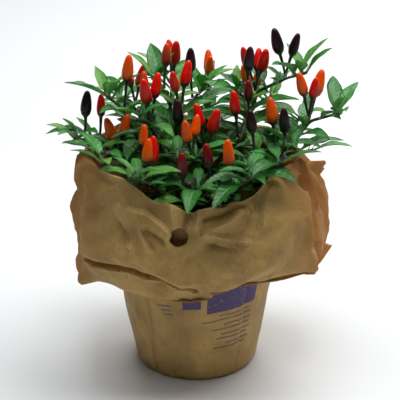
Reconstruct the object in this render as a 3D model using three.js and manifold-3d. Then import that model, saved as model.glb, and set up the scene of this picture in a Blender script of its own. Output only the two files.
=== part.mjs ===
// Ornamental chilli pepper plant in a nursery pot, in a kraft paper sleeve folded down into a wide cuff.
// Millimetres, +Z up, with -Y to the front. The origin is the middle of the sleeve's flat underside.
import * as THREE from "three";
import { mergeVertices } from "three/addons/utils/BufferGeometryUtils.js";
import Module from "manifold-3d";

const wasm = await Module();
wasm.setup();

// ---------------------------------------------------------------- driving dimensions
const GAP = 0.3; // clearance between pieces that touch
const SHEET = 0.9; // paper thickness
const POT_TOP = 115; // height of the pot's rim above the table
const POT_FLOOR_R = 46.5;
const POT_TOP_R = 62;
const POT_LIP_R = 65;
const POT_LIP_H = 9;
const POT_WALL = 1.3;
const POT_FLOOR_THICK = 2.4;
const DRAIN_HOLES = 5;
const DRAIN_HOLE_R = 5;
const DRAIN_CIRCLE_R = 31;
const SOIL_TOP = 103;
const TRUNK_R = 5;
const TRUNK_FOOT = 72; // the trunk stands in a plain hole in the soil down to here
const TRUNK_FORK = 124;
const TWIG_R = 1.9; // leafy stem, at its foot
const TWIG_TIP_R = 1.0;
const STUB = 10; // length of the woody stub that carries each leafy stem
const BLADE = 0.85; // leaf thickness
const FRUIT_LENGTH = 18;
const FRUIT_R = 4.1;
const PEDICEL_R = 1.05;
const HOLE_R = 7.4; // punched carrying hole in the paper
const LEAF_LENGTH = 42; // along the leafy stems
const TIP_LEAF_LENGTH = 29; // in the whorl at a stem's tip
const LEAF_WIDTH = 0.33; // share of the leaf's length

const RAD = Math.PI / 180;
const GOLDEN = 137.5;

// ---------------------------------------------------------------- small helpers
const mix = (a, b, t) => a + (b - a) * t;
const add = (a, b, k = 1) => [a[0] + b[0] * k, a[1] + b[1] * k, a[2] + b[2] * k];
const sub = (a, b) => add(a, b, -1);
const length = (a) => Math.sqrt(a[0] * a[0] + a[1] * a[1] + a[2] * a[2]);
const unit = (a) => add([0, 0, 0], a, 1 / length(a));
const cross = (a, b) => [a[1] * b[2] - a[2] * b[1], a[2] * b[0] - a[0] * b[2], a[0] * b[1] - a[1] * b[0]];

// Park and Miller's generator, so the plant is the same each time.
const RANDOM_STEP = 16807;
const RANDOM_PRIME = 2147483647;
let seed = 20717;
function random() {
  seed = (seed * RANDOM_STEP) % RANDOM_PRIME;
  return seed / RANDOM_PRIME;
}

const MERGE_REACH = 1e-4; // points closer than this are one corner
const FACE_REACH = 0.03; // joined faces that lie this close to one plane become one

function solidOf(geometry) {
  const bare = geometry.clone();
  bare.deleteAttribute("normal");
  bare.deleteAttribute("uv");
  const merged = mergeVertices(bare, MERGE_REACH);
  const made = new wasm.Manifold(
    new wasm.Mesh({
      numProp: 3,
      vertProperties: new Float32Array(merged.attributes.position.array),
      triVerts: new Uint32Array(merged.index.array),
    }),
  );
  return made;
}

function geometryOf(points, triangles) {
  const geometry = new THREE.BufferGeometry();
  geometry.setAttribute("position", new THREE.Float32BufferAttribute(points.flat(), 3));
  geometry.setIndex(triangles.flat());
  return geometry;
}

// A solid from points and triangles, turned inside out if its faces point inwards.
function outwardSolid(points, triangles) {
  const made = solidOf(geometryOf(points, triangles));
  if (made.volume() > 0) return made;
  const turnedRound = triangles.map(([a, b, c]) => [a, c, b]);
  return solidOf(geometryOf(points, turnedRound));
}

function meshOf(name, solid, material) {
  solid = solid.simplify(FACE_REACH);
  const data = solid.getMesh();
  const positions = new Float32Array(data.numVert * 3);
  for (let i = 0; i < data.numVert; i++) {
    positions.set(data.vertProperties.subarray(i * data.numProp, i * data.numProp + 3), i * 3);
  }
  const geometry = new THREE.BufferGeometry();
  geometry.setAttribute("position", new THREE.BufferAttribute(positions, 3));
  geometry.setIndex(new THREE.BufferAttribute(data.triVerts, 1));
  const mesh = new THREE.Mesh(geometry, material);
  mesh.name = name;
  return mesh;
}

// A turned solid about the Z axis. The profile runs round its section: [radius, height].
function turned(profile, segments) {
  const lathe = new THREE.LatheGeometry(profile.map(([r, z]) => new THREE.Vector2(r, z)), segments);
  lathe.rotateX(Math.PI / 2);
  return solidOf(lathe);
}

// A tapering tube with closed ends along a list of points.
function tube(path, radii, sides) {
  const points = [];
  const triangles = [];
  let side = null;
  path.forEach((p, i) => {
    const along = unit(sub(path[Math.min(i + 1, path.length - 1)], path[Math.max(i - 1, 0)]));
    const guide = side ?? (Math.abs(along[2]) < 0.9 ? [0, 0, 1] : [1, 0, 0]);
    const other = unit(cross(along, guide));
    side = cross(other, along);
    for (let k = 0; k < sides; k++) {
      const a = (2 * Math.PI * k) / sides;
      points.push(add(add(p, side, radii[i] * Math.cos(a)), other, radii[i] * Math.sin(a)));
    }
  });
  const last = (path.length - 1) * sides;
  for (let i = 0; i + 1 < path.length; i++) {
    for (let k = 0; k < sides; k++) {
      const a = i * sides + k;
      const b = i * sides + ((k + 1) % sides);
      triangles.push([a, a + sides, b], [b, a + sides, b + sides]);
    }
  }
  for (let k = 1; k + 1 < sides; k++) {
    triangles.push([0, k, k + 1], [last, last + k + 1, last + k]);
  }
  return outwardSolid(points, triangles);
}

// ---------------------------------------------------------------- materials
const finish = (color, roughness) => new THREE.MeshStandardMaterial({ color, roughness, metalness: 0 });
const kraftPaper = finish(0xa98653, 0.85);
const potPlastic = finish(0x2b2a28, 0.6);
const soil = finish(0x33261c, 1.0);
const bark = finish(0x4c4a34, 0.8);
const leafGreen = finish(0x2f6a2c, 0.45);
const chilliSkin = {
  red: finish(0xc4130c, 0.25),
  dark_red: finish(0x7d0d10, 0.25),
  orange: finish(0xe8520c, 0.25),
  brown: finish(0x7a2a12, 0.25),
  purple: finish(0x22121c, 0.25),
};

// ---------------------------------------------------------------- paper sleeve
// Half widths of the sleeve's plan outline at three levels: a rounded box, wider than deep, like the bag.
const MOUTH = { left: 84, right: 79, front: 69, back: 68, square: 2.2 };
const BULGE = { left: 90, right: 103, front: 82, back: 80, square: 2.6 };
const SKIRT = { left: 91, right: 100, front: 70, back: 72, square: 2.5 };
const WALL_FOOT_R = 48.8;
const WALL_TOP_R = 66.2;
const WALL_TOP_Z = POT_TOP - 10;

function outline(angle, { left, right, front, back, square }) {
  const x = Math.cos(angle);
  const y = Math.sin(angle);
  const a = Math.abs(x / (x > 0 ? right : left)) ** square;
  const b = Math.abs(y / (y > 0 ? back : front)) ** square;
  return (a + b) ** (-1 / square);
}

// How far an angle is from a bearing, in radians, either way round.
function turnFrom(angle, bearing) {
  const off = angle - bearing;
  return Math.abs(Math.atan2(Math.sin(off), Math.cos(off)));
}
const bump = (angle, bearing, width, power = 2) => Math.exp(-((turnFrom(angle, bearing) / width) ** power));

// The rim stands up all round but for a wide flat saddle at the front.
const RIM = 179;
const SADDLE = { bearing: -88 * RAD, width: 38 * RAD, depth: 21, power: 6 };
const rimHeight = (angle) => RIM - SADDLE.depth * bump(angle, SADDLE.bearing, SADDLE.width, SADDLE.power);

// The hem hangs lowest at the front and at its left corner.
const HEM = 91;
const HEM_LIP = 1.2; // how far the hem curls in; the space behind the cuff stays open straight down
const HEM_RISE = 0.9;
const HEM_BENDS = [
  { bearing: -96 * RAD, width: 19 * RAD, lift: -12.5 },
  { bearing: -142 * RAD, width: 12 * RAD, lift: 3 },
  { bearing: -166 * RAD, width: 10 * RAD, lift: -7 },
];
const hemHeight = (angle) =>
  HEM_BENDS.reduce((z, { bearing, width, lift }) => z + lift * bump(angle, bearing, width), HEM);
const RIPPLES = [
  { waves: 5, twist: 0.6, depth: 1.7 },
  { waves: 9, twist: 1.7, depth: 1.1 },
];
const ripple = (angle, level) =>
  RIPPLES.reduce((sum, { waves, twist, depth }) => sum + depth * Math.sin(waves * angle + twist * level), 0);

// The middle of the sheet at one bearing: floor, wall, mouth, fold, cuff, hem and the hem's slight curl.
function sheetLine(angle) {
  const rim = rimHeight(angle);
  const hem = hemHeight(angle);
  const drop = rim - hem;
  const mouth = outline(angle, MOUTH) + 0.35 * ripple(angle, 6);
  const bulge = outline(angle, BULGE);
  const skirt = outline(angle, SKIRT) + 0.8 * ripple(angle, 12);
  return [
    [0, SHEET / 2],
    [47, SHEET / 2],
    [WALL_FOOT_R, 3],
    [WALL_TOP_R, WALL_TOP_Z],
    [WALL_TOP_R + 1.2, POT_TOP + 2],
    [mix(WALL_TOP_R + 1.2, mouth, 0.62), mix(POT_TOP + 2, rim, 0.5)],
    [mouth - 2.4, rim - 5],
    [mouth, rim - SHEET / 2],
    [mouth + 2.6, rim - 5],
    [mix(mouth + 3, bulge, 0.62) + ripple(angle, 9), rim - 0.33 * drop],
    [bulge + ripple(angle, 10), rim - 0.62 * drop],
    [mix(bulge, skirt, 0.5) + 1 + ripple(angle, 11), hem + 10],
    [skirt, hem],
    [skirt - HEM_LIP, hem + HEM_RISE],
  ];
}
const FOLD = 7; // the sheetLine point at the top of the rim

const onBearing = (angle, [r, z]) => [r * Math.cos(angle), r * Math.sin(angle), z];

function sleeveSolid(bearings) {
  const rings = [];
  for (let k = 0; k < bearings; k++) {
    const angle = (2 * Math.PI * k) / bearings;
    const line = sheetLine(angle);
    const outer = [];
    const inner = [];
    line.forEach(([r, z], i) => {
      const before = line[Math.max(i - 1, 0)];
      const after = line[Math.min(i + 1, line.length - 1)];
      const run = Math.hypot(after[0] - before[0], after[1] - before[1]);
      const flat = i < 2;
      const nr = flat ? 0 : (after[1] - before[1]) / run;
      const nz = flat ? -1 : -(after[0] - before[0]) / run;
      outer.push([Math.max(r + (nr * SHEET) / 2, 0), z + (nz * SHEET) / 2]);
      inner.push([Math.max(r - (nr * SHEET) / 2, 0), z - (nz * SHEET) / 2]);
    });
    rings.push([...outer, ...inner.reverse()].map((p) => onBearing(angle, p)));
  }
  const loop = rings[0].length;
  const points = rings.flat();
  const triangles = [];
  for (let k = 0; k < bearings; k++) {
    const here = k * loop;
    const next = ((k + 1) % bearings) * loop;
    for (let i = 0; i + 1 < loop; i++) {
      if (i > 0) triangles.push([here + i, next + i, here + i + 1]);
      if (i + 2 < loop || i === 0) triangles.push([next + i, next + i + 1, here + i + 1]);
    }
  }
  return solidOf(geometryOf(points, triangles));
}

// A punched hole: a short drill pointing outwards at a bearing and height. The front hole goes through the
// cuff's outer layer only. The side hole lies close under the rim and goes through both layers.
function punch(bearing, z, from, to) {
  const drill = new THREE.CylinderGeometry(HOLE_R, HOLE_R, to - from, 16);
  drill.rotateZ(Math.PI / 2);
  drill.translate((from + to) / 2, 0, 0);
  drill.rotateZ(bearing);
  drill.translate(0, 0, z);
  return solidOf(drill);
}
const FRONT_HOLE = { bearing: -99 * RAD, z: 139, from: 74, to: 92 };
const SIDE_HOLE = { bearing: -29 * RAD, z: 165, from: 70, to: 104 };

// ---------------------------------------------------------------- pot and soil
function potSolid() {
  const floor = SHEET + GAP;
  const lipFoot = POT_TOP - POT_LIP_H;
  const section = [
    [0, floor],
    [POT_FLOOR_R - 1.5, floor],
    [POT_FLOOR_R, floor + 2],
    [POT_TOP_R, lipFoot],
    [POT_LIP_R, lipFoot],
    [POT_LIP_R, POT_TOP],
    [POT_LIP_R - POT_WALL, POT_TOP],
    [POT_LIP_R - POT_WALL, lipFoot + POT_WALL],
    [POT_TOP_R - POT_WALL, lipFoot + POT_WALL],
    [POT_FLOOR_R - POT_WALL, floor + POT_FLOOR_THICK],
    [0, floor + POT_FLOOR_THICK],
  ];
  let pot = turned(section, 28);
  for (let i = 0; i < DRAIN_HOLES; i++) {
    const drill = new THREE.CylinderGeometry(DRAIN_HOLE_R, DRAIN_HOLE_R, 10, 8);
    drill.rotateX(Math.PI / 2);
    drill.translate(DRAIN_CIRCLE_R, 0, floor);
    drill.rotateZ((2 * Math.PI * i) / DRAIN_HOLES);
    pot = pot.subtract(solidOf(drill));
  }
  return pot;
}

function soilSolid() {
  const foot = SHEET + GAP + POT_FLOOR_THICK + GAP;
  const wall = (z) => mix(POT_FLOOR_R, POT_TOP_R, (z - 3) / (POT_TOP - POT_LIP_H - 3)) - POT_WALL - GAP;
  const socket = TRUNK_R + GAP;
  return turned(
    [
      [0, foot],
      [wall(foot) - 1, foot],
      [wall(SOIL_TOP - 4) - 0.4, SOIL_TOP - 4],
      [wall(SOIL_TOP - 4) - 3, SOIL_TOP - 2],
      [34, SOIL_TOP],
      [14, SOIL_TOP + 1.5],
      [socket, SOIL_TOP + 1],
      [socket, TRUNK_FOOT - GAP],
      [0, TRUNK_FOOT - GAP],
    ],
    28,
  );
}

// ---------------------------------------------------------------- room kept free between pieces
// Every piece is sampled as small balls, [x, y, z, radius, near its root], kept by the cell they lie in.
// A leaf or fruit is only set where its balls meet nobody else's.
const CELL = 9;
const ROOM = 0.5;
const TUBE_BALL_STEP = 1.5;
const LEAF_BALL_STEP = 2.5;
const LEAF_BALL_R = 1;
const LEAF_ROOT = 0.34; // share of a leaf, from its foot, that may lie close to its own stem
const held = new Map();
const cellKey = (x, y, z) => (x + 90) * 1e4 + (y + 90) * 1e2 + (z + 50);

function hold(balls, owner) {
  for (const [x, y, z, r, root] of balls) {
    const key = cellKey(Math.floor(x / CELL), Math.floor(y / CELL), Math.floor(z / CELL));
    if (!held.has(key)) held.set(key, []);
    held.get(key).push([x, y, z, r, owner, root]);
  }
}

function isFree(balls, parent) {
  for (const [x, y, z, r, root] of balls) {
    const [cx, cy, cz] = [Math.floor(x / CELL), Math.floor(y / CELL), Math.floor(z / CELL)];
    for (let i = -1; i <= 1; i++)
      for (let j = -1; j <= 1; j++)
        for (let k = -1; k <= 1; k++) {
          for (const [hx, hy, hz, hr, owner] of held.get(cellKey(cx + i, cy + j, cz + k)) ?? []) {
            if (root && owner === parent) continue;
            const reach = r + hr + ROOM;
            if ((x - hx) ** 2 + (y - hy) ** 2 + (z - hz) ** 2 < reach * reach) return false;
          }
        }
  }
  return true;
}

const PAPER_ROOM = 3.2;
const OVERHANG = 3; // how far a leaf may hang below the rim outside it
const WITHIN_SLEEVE_R = 55; // nothing this close to the middle, or this high up, can touch the paper
const CLEAR_OF_RIM = 185;
function meetsPaper([x, y, z]) {
  const r = Math.sqrt(x * x + y * y);
  if (z < SOIL_TOP + 3) return true;
  if (r < WITHIN_SLEEVE_R || z > CLEAR_OF_RIM) return false;
  const line = sheetLine(Math.atan2(y, x));
  if (r > line[FOLD][0] && z < line[FOLD][1] - OVERHANG) return true;
  if (z > line[FOLD][1] + PAPER_ROOM) return false;
  const radiusAt = (from, to) => {
    for (let i = from; i < to; i++) {
      const [low, high] = [line[i], line[i + 1]].sort((a, b) => a[1] - b[1]);
      if (z >= low[1] && z <= high[1]) return mix(low[0], high[0], (z - low[1]) / (high[1] - low[1]));
    }
    return line[FOLD][0];
  };
  return r > radiusAt(3, FOLD) - PAPER_ROOM && r < radiusAt(FOLD, 12) + PAPER_ROOM;
}

function tubeBalls(path, radius, rootLength = 0) {
  const balls = [];
  let walked = 0;
  for (let i = 0; i + 1 < path.length; i++) {
    const run = sub(path[i + 1], path[i]);
    const far = length(run);
    const steps = Math.ceil(far / TUBE_BALL_STEP);
    for (let k = 0; k <= steps; k++) {
      balls.push([...add(path[i], run, k / steps), radius, walked + (far * k) / steps < rootLength]);
    }
    walked += far;
  }
  return balls;
}

// ---------------------------------------------------------------- fruit
// A blunt cone: [share of the length, share of the radius].
const FRUIT_SIDES = 6;
const FRUIT_PROFILE = [
  [0, 0.6],
  [0.22, 1],
  [0.62, 0.84],
  [0.91, 0.48],
];
const CALYX_R = 2.9;
const CALYX_H = 2.6;

// The way a stalk points, from its lean off the vertical and its bearing, both in degrees.
const lean = (off, bearing) => [
  Math.sin(off * RAD) * Math.cos(bearing * RAD),
  Math.sin(off * RAD) * Math.sin(bearing * RAD),
  Math.cos(off * RAD),
];

function fruitBalls({ foot, way, size, stalk }) {
  const base = add(foot, way, stalk);
  const balls = tubeBalls([foot, base], PEDICEL_R, 6);
  for (let along = 0; along <= 1; along += 0.1) {
    const wide = FRUIT_PROFILE.filter(([share]) => share <= along + 0.05).at(-1)[1];
    balls.push([...add(base, way, along * FRUIT_LENGTH * size), wide * FRUIT_R * size, false]);
  }
  return balls;
}

// One fruit with its cup and stalk: a turned solid along +Y, then leant over to point its way.
function fruitSolid({ foot, way, size, stalk }) {
  const tall = FRUIT_LENGTH * size;
  const flesh = FRUIT_PROFILE.slice(1).map(([along, wide]) => [wide * FRUIT_R * size, stalk + along * tall]);
  const profile = [
    [0, 0],
    [PEDICEL_R, 0],
    [PEDICEL_R * 1.2, stalk - CALYX_H],
    [CALYX_R * size, stalk],
    ...flesh,
    [0, stalk + tall],
  ];
  const lathe = new THREE.LatheGeometry(profile.map(([r, z]) => new THREE.Vector2(r, z)), FRUIT_SIDES);
  const upright = new THREE.Vector3(0, 1, 0);
  lathe.applyQuaternion(new THREE.Quaternion().setFromUnitVectors(upright, new THREE.Vector3(...way)));
  lathe.translate(...foot);
  return solidOf(lathe);
}

// ---------------------------------------------------------------- leaf
// A leaf is a stalk and a pointed blade whose middle rib bends down along its length by `droop` degrees.
// It is folded a little along the rib and rolled to one side.
const LEAF_STALK = 0.17; // share of the length that is stalk
const BLADE_STATIONS = [0.09, 0.38, 0.7]; // along the leaf, where the solid's outline has its corners
const STALK_HALF = 0.75;

const bladeWidth = (u) => 3.72 * u ** 0.72 * (1 - u) ** 1.02 * (1 - 0.32 * u);

function leafPoint({ foot, bearing, rise, droop, long, wide, roll, fold }, t, v) {
  const bend = droop * RAD;
  const start = rise * RAD;
  const now = start - bend * t;
  const ahead = (long / bend) * (Math.sin(start) - Math.sin(now));
  const up = (long / bend) * (Math.cos(now) - Math.cos(start));
  const [c, s] = [Math.cos(bearing * RAD), Math.sin(bearing * RAD)];
  const blade = Math.max(0, (t - LEAF_STALK) / (1 - LEAF_STALK));
  const bladeHalf = Math.max(STALK_HALF * (1 - blade), (wide / 2) * bladeWidth(blade));
  const half = t <= LEAF_STALK ? STALK_HALF : bladeHalf;
  const turn = roll * RAD * Math.min(1, t * 3);
  const [across, lift] = [v * half * Math.cos(fold * RAD), Math.abs(v) * half * Math.sin(fold * RAD)];
  const flat = across * Math.cos(turn) - lift * Math.sin(turn);
  const off = across * Math.sin(turn) + lift * Math.cos(turn);
  // The side runs level, across the bearing; the face's normal tips back with the rib.
  return [
    foot[0] + ahead * c - flat * s - off * Math.sin(now) * c,
    foot[1] + ahead * s + flat * c - off * Math.sin(now) * s,
    foot[2] + up + off * Math.cos(now),
  ];
}

function leafBalls(leaf) {
  const balls = [];
  const step = LEAF_BALL_STEP / leaf.long;
  for (let t = 0; t < 1 + step / 2; t += step) {
    const across = t < LEAF_STALK ? 1 : 4;
    for (let v = -across; v <= across; v++) {
      balls.push([...leafPoint(leaf, t, v / across), LEAF_BALL_R, t < LEAF_ROOT]);
    }
  }
  return balls;
}

const RIBBED_FROM = 40; // length

// The leaf's outline: stalk, two stations across the blade, tip. A big leaf also has its rib, a small one
// is flat.
const [STALK_END, NEAR, FAR] = BLADE_STATIONS;
const BIG_LEAF = {
  face: [
    [STALK_END, -1], [STALK_END, 1],
    [NEAR, -1], [NEAR, 0], [NEAR, 1],
    [FAR, -1], [FAR, 0], [FAR, 1],
    [1, 0],
  ],
  top: [[0, 2, 3], [0, 3, 1], [1, 3, 4], [2, 5, 6], [2, 6, 3], [3, 6, 7], [3, 7, 4], [5, 8, 6], [6, 8, 7]],
  rim: [1, 4, 7, 8, 5, 2, 0],
};
const SMALL_LEAF = {
  face: [
    [STALK_END, -1], [STALK_END, 1],
    [NEAR, -1], [NEAR, 1],
    [FAR, -1], [FAR, 1],
    [1, 0],
  ],
  top: [[0, 2, 3], [0, 3, 1], [2, 4, 5], [2, 5, 3], [4, 6, 5]],
  rim: [1, 3, 5, 6, 4, 2, 0],
};

function leafSolid(leaf) {
  const shape = leaf.long > RIBBED_FROM ? BIG_LEAF : SMALL_LEAF;
  const face = shape.face.map(([t, v]) => leafPoint(leaf, t, v));
  const tilt = (leaf.rise - 0.5 * leaf.droop) * RAD;
  const down = [
    BLADE * Math.sin(tilt) * Math.cos(leaf.bearing * RAD),
    BLADE * Math.sin(tilt) * Math.sin(leaf.bearing * RAD),
    -BLADE * Math.cos(tilt),
  ];
  // The stalk is three-sided: its two upper corners share one lower corner. It ends in a point in the stem.
  const count = face.length;
  const below = (i) => (i < 2 ? count : count + i - 1);
  const keel = add(leafPoint(leaf, STALK_END, 0), down, 1.5);
  const root = add(leafPoint(leaf, 0, 0), down, 0.5);
  const points = [...face, keel, ...face.slice(2).map((p) => add(p, down)), root];
  const end = points.length - 1;
  const triangles = [...shape.top, ...shape.top.map(([a, b, c]) => [below(a), below(c), below(b)])];
  for (let i = 0; i + 1 < shape.rim.length; i++) {
    const [a, b] = [shape.rim[i], shape.rim[i + 1]];
    triangles.push([a, b, below(b)], [a, below(b), below(a)]);
  }
  triangles.push([0, 1, end], [1, count, end], [count, 0, end]);
  const whole = triangles.filter(([a, b, c]) => a !== b && b !== c && c !== a);
  return outwardSolid(points, whole);
}

// ---------------------------------------------------------------- the plant's plan
// Forks of the woody stem, and the leafy stems that each fork carries. A stem's path is where it bends.
// A fruit bunch sits at a path point: { at: point number, colour, count, stalk, bearing }.
const FORKS = {
  front: [-3, -24, 138],
  left: [-27, 1, 146],
  right: [28, -3, 147],
  back_left: [-14, 20, 149],
  back: [7, 26, 149],
  middle: [6, -9, 151],
};

const bunch = (at, colour, count, stalk = 18, bearing = 0) => ({ at, colour, count, stalk, bearing });

const STEMS = [
  { name: "left_low", fork: "left", path: [[-56, 3, 163], [-76, 6, 184], [-86, 0, 190], [-94, -3, 188]],
    bunches: [bunch(1, "red", 1), bunch(2, "purple", 1, 15)] },
  { name: "left_front", fork: "left", path: [[-46, -10, 160], [-61, -13, 176], [-76, -26, 186]],
    bunches: [bunch(1, "orange", 2, 16)] },
  { name: "left_high", fork: "left", path: [[-42, 4, 178], [-56, -4, 213], [-70, 4, 222]],
    bunches: [bunch(1, "orange", 1, 22)] },
  { name: "upper_left", fork: "middle", path: [[-22, -10, 172], [-36, -15, 206], [-44, -27, 212]],
    bunches: [bunch(1, "red", 2, 19, 60), bunch(1, "brown", 1, 21)] },
  { name: "top_left", fork: "back_left",
    path: [[-16, 6, 182], [-14, -4, 212], [-25, 12, 222], [-34, 20, 229]],
    bunches: [bunch(1, "red", 2, 19, 90), bunch(2, "brown", 1, 20)] },
  { name: "back_top_left", fork: "back_left", path: [[-22, 32, 184], [-19, 46, 214], [-26, 58, 220]],
    bunches: [bunch(1, "red", 2, 20)] },
  { name: "top_middle", fork: "back", path: [[2, 14, 178], [-2, 26, 210], [6, 34, 216]],
    bunches: [bunch(1, "purple", 1, 24)] },
  { name: "back_middle", fork: "back", path: [[8, 40, 176], [10, 54, 204], [8, 68, 208]],
    bunches: [bunch(1, "orange", 2, 18)] },
  { name: "back_left", fork: "back_left", path: [[-34, 40, 170], [-50, 52, 194], [-62, 60, 198]],
    bunches: [bunch(1, "red", 2, 18)] },
  { name: "back_right", fork: "back", path: [[32, 42, 170], [46, 55, 194], [62, 60, 200]],
    bunches: [bunch(1, "orange", 2, 18)] },
  { name: "front_left", fork: "front",
    path: [[-20, -38, 152], [-34, -46, 168], [-37, -56, 174], [-46, -68, 184]],
    bunches: [bunch(1, "red", 1, 16), bunch(2, "orange", 1, 14)] },
  { name: "front_side", fork: "left",
    path: [[-36, -26, 158], [-42, -38, 176], [-57, -44, 184], [-70, -54, 190]],
    bunches: [bunch(1, "orange", 1, 18)] },
  { name: "front_middle", fork: "front", path: [[-6, -42, 146], [-8, -53, 160], [2, -60, 172]],
    bunches: [bunch(1, "dark_red", 1, 17)] },
  { name: "front_right", fork: "front", path: [[4, -42, 150], [12, -50, 166], [27, -55, 168], [42, -62, 182]],
    bunches: [bunch(1, "dark_red", 1, 17), bunch(2, "orange", 1, 18)] },
  { name: "front_corner", fork: "front", path: [[22, -40, 152], [50, -44, 178], [64, -50, 188]],
    bunches: [] },
  { name: "centre", fork: "middle", path: [[4, -20, 164], [7, -21, 182], [-4, -36, 184], [-14, -48, 190]],
    bunches: [bunch(1, "red", 2, 20, 80), bunch(2, "orange", 2, 16)] },
  { name: "centre_left", fork: "front", path: [[-12, -20, 162], [-15, -10, 184], [-26, -20, 196]],
    bunches: [bunch(1, "purple", 1, 20)] },
  { name: "centre_right", fork: "middle",
    path: [[28, -18, 166], [45, -28, 184], [60, -20, 188], [72, -32, 192]],
    bunches: [bunch(1, "purple", 1, 18), bunch(2, "orange", 1, 18)] },
  { name: "upper_right", fork: "middle",
    path: [[20, -4, 176], [34, -14, 192], [40, 0, 206], [37, 12, 216], [30, 14, 222]],
    bunches: [bunch(1, "red", 1, 20), bunch(2, "dark_red", 1, 12), bunch(3, "purple", 1, 22)] },
  { name: "top_right", fork: "right", path: [[38, 18, 186], [48, 26, 216], [70, 28, 226], [86, 30, 230]],
    bunches: [bunch(1, "red", 3, 20), bunch(2, "purple", 2, 20)] },
  { name: "right", fork: "right", path: [[60, -4, 168], [87, -7, 204], [98, -9, 208], [110, -11, 212]],
    bunches: [bunch(1, "orange", 2, 21, 90), bunch(1, "red", 1, 19)] },
  { name: "right_back", fork: "right", path: [[50, 14, 164], [72, 20, 188], [86, 28, 196]],
    bunches: [] },
  { name: "right_low", fork: "right", path: [[48, -20, 157], [69, -21, 183], [88, -27, 188]],
    bunches: [bunch(1, "purple", 1, 17)] },
];

// ---------------------------------------------------------------- growing it
// Limbs leave the trunk one above another. Each ends in a fork, with a woody stub for each leafy stem.
const WOOD = 0;
const TRUNK_TOP_R = 2.8;
const LOWEST_LIMB = TRUNK_FORK - 12;
const LIMB_STEP = 2.6; // height between one limb and the next
const LIMB_RADII = [2.9, 2.9, 2.4, TWIG_R];
const STUB_RADII = [2.2, TWIG_R];
const problems = [];
const ways = STEMS.map((plan) => unit(sub(plan.path[0], FORKS[plan.fork])));
const trunkTop = [0, 0, TRUNK_FORK + 4];
let wood = tube([[0, 0, TRUNK_FOOT], [0, 0, SOIL_TOP + 2], trunkTop], [TRUNK_R, TRUNK_R, TRUNK_TOP_R], 7);
hold(tubeBalls([[0, 0, SOIL_TOP], trunkTop], TRUNK_R), WOOD);
Object.entries(FORKS).forEach(([name, fork], level) => {
  const leaving = [0, 0, LOWEST_LIMB + LIMB_STEP * level];
  const knee = add(leaving, sub(fork, leaving), 0.5);
  knee[2] -= 2;
  let path = [leaving, knee, fork];
  STEMS.forEach((plan, i) => {
    if (plan.fork !== name) return;
    const end = add(fork, ways[i], STUB);
    const whole = path.length === 3;
    wood = wood.add(tube([...path, end], whole ? LIMB_RADII : STUB_RADII, whole ? 5 : 4));
    path = [fork];
    hold(tubeBalls([fork, end], 2.3), WOOD);
  });
  hold(tubeBalls([leaving, knee, fork], 3), WOOD);
});

const stems = STEMS.map((plan, i) => {
  const owner = 1 + i;
  const line = [add(FORKS[plan.fork], ways[i], STUB + GAP), ...plan.path];
  const balls = tubeBalls(line, TWIG_R, 5);
  if (balls.some(meetsPaper)) problems.push(`${plan.name} meets the paper`);
  if (!isFree(balls, WOOD)) problems.push(`${plan.name} meets another stem`);
  hold(balls, owner);
  return { ...plan, owner, line };
});

// Fruit bunches: each sits in the crook on the outside of its stem's bend, on a small knuckle, its stalks
// spread round the upright.
const KNUCKLE_R = 1.7;
const SIDE_LEAN = 0.9; // how far bunches that share a crook lean to its two sides
const FRUIT_LEAN = [6, 15, 18]; // degrees off the upright for one, two or three fruits
const FRUIT_TRIES = 60;
const TURNS = 12; // turns round the upright that are tried at each lean
const bunches = [];
stems.forEach((stem) => {
  stem.bunches.forEach((plan, order) => {
    const at = stem.line[plan.at + 1];
    const before = unit(sub(at, stem.line[plan.at]));
    const after = unit(sub(stem.line[plan.at + 2], at));
    const along = unit(add(before, after));
    const over = unit(add([0, 0, 1], along, -along[2]));
    const shared = stem.bunches.filter((other) => other.at === plan.at).length > 1;
    const side = order % 2 ? SIDE_LEAN : -SIDE_LEAN;
    const facing = unit(add(over, cross(along, over), shared ? side : 0));
    const surface = mix(TWIG_R, TWIG_TIP_R, (plan.at + 1) / (stem.line.length - 1)) + GAP;
    const owner = 101 + bunches.length;
    const outward = Math.atan2(facing[1], facing[0]) / RAD;
    let fruits = null;
    for (let attempt = 0; attempt < FRUIT_TRIES && !fruits; attempt++) {
      const tried = [];
      const turn = (attempt % TURNS) * (360 / TURNS);
      for (let k = 0; k < plan.count; k++) {
        const off = FRUIT_LEAN[plan.count - 1] + 3 * Math.floor(attempt / TURNS);
        const way = lean(off, outward + plan.bearing + (360 * k) / plan.count + turn);
        const upright = way[0] * facing[0] + way[1] * facing[1] + way[2] * facing[2];
        const tilted = 0.05 + PEDICEL_R * Math.sqrt(1 - upright * upright);
        const cap = plan.count > 1 ? KNUCKLE_R / Math.sqrt(3) : tilted;
        const foot = add(at, facing, surface + cap);
        const size = 0.9 + 0.05 * ((bunches.length * 3 + k * 2) % 5);
        tried.push({ foot, way, size, stalk: plan.stalk - 2 * k });
      }
      const balls = tried.flatMap(fruitBalls);
      if (isFree(balls, stem.owner) && !balls.some(meetsPaper)) fruits = tried;
    }
    if (!fruits) {
      problems.push(`no room for the ${plan.colour} fruit at point ${plan.at} of ${stem.name}`);
      return;
    }
    hold(fruits.flatMap(fruitBalls), owner);
    bunches.push({ colour: plan.colour, fruits, facing });
  });
});

// Leaves: one every few millimetres round each leafy stem, then a whorl at its tip.
const LEAF_STEP = 8.6;
const TIP_LEAVES = 4;
const TRIES = 12;
const SWING = 24; // degrees that a leaf with no room turns aside, further each time
// Below SHADE_TOP leaves hang as shaded ones do. SUN_REACH higher up they stand as sunlit ones.
const SHADE_TOP = 160;
const SUN_REACH = 70;

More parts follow.
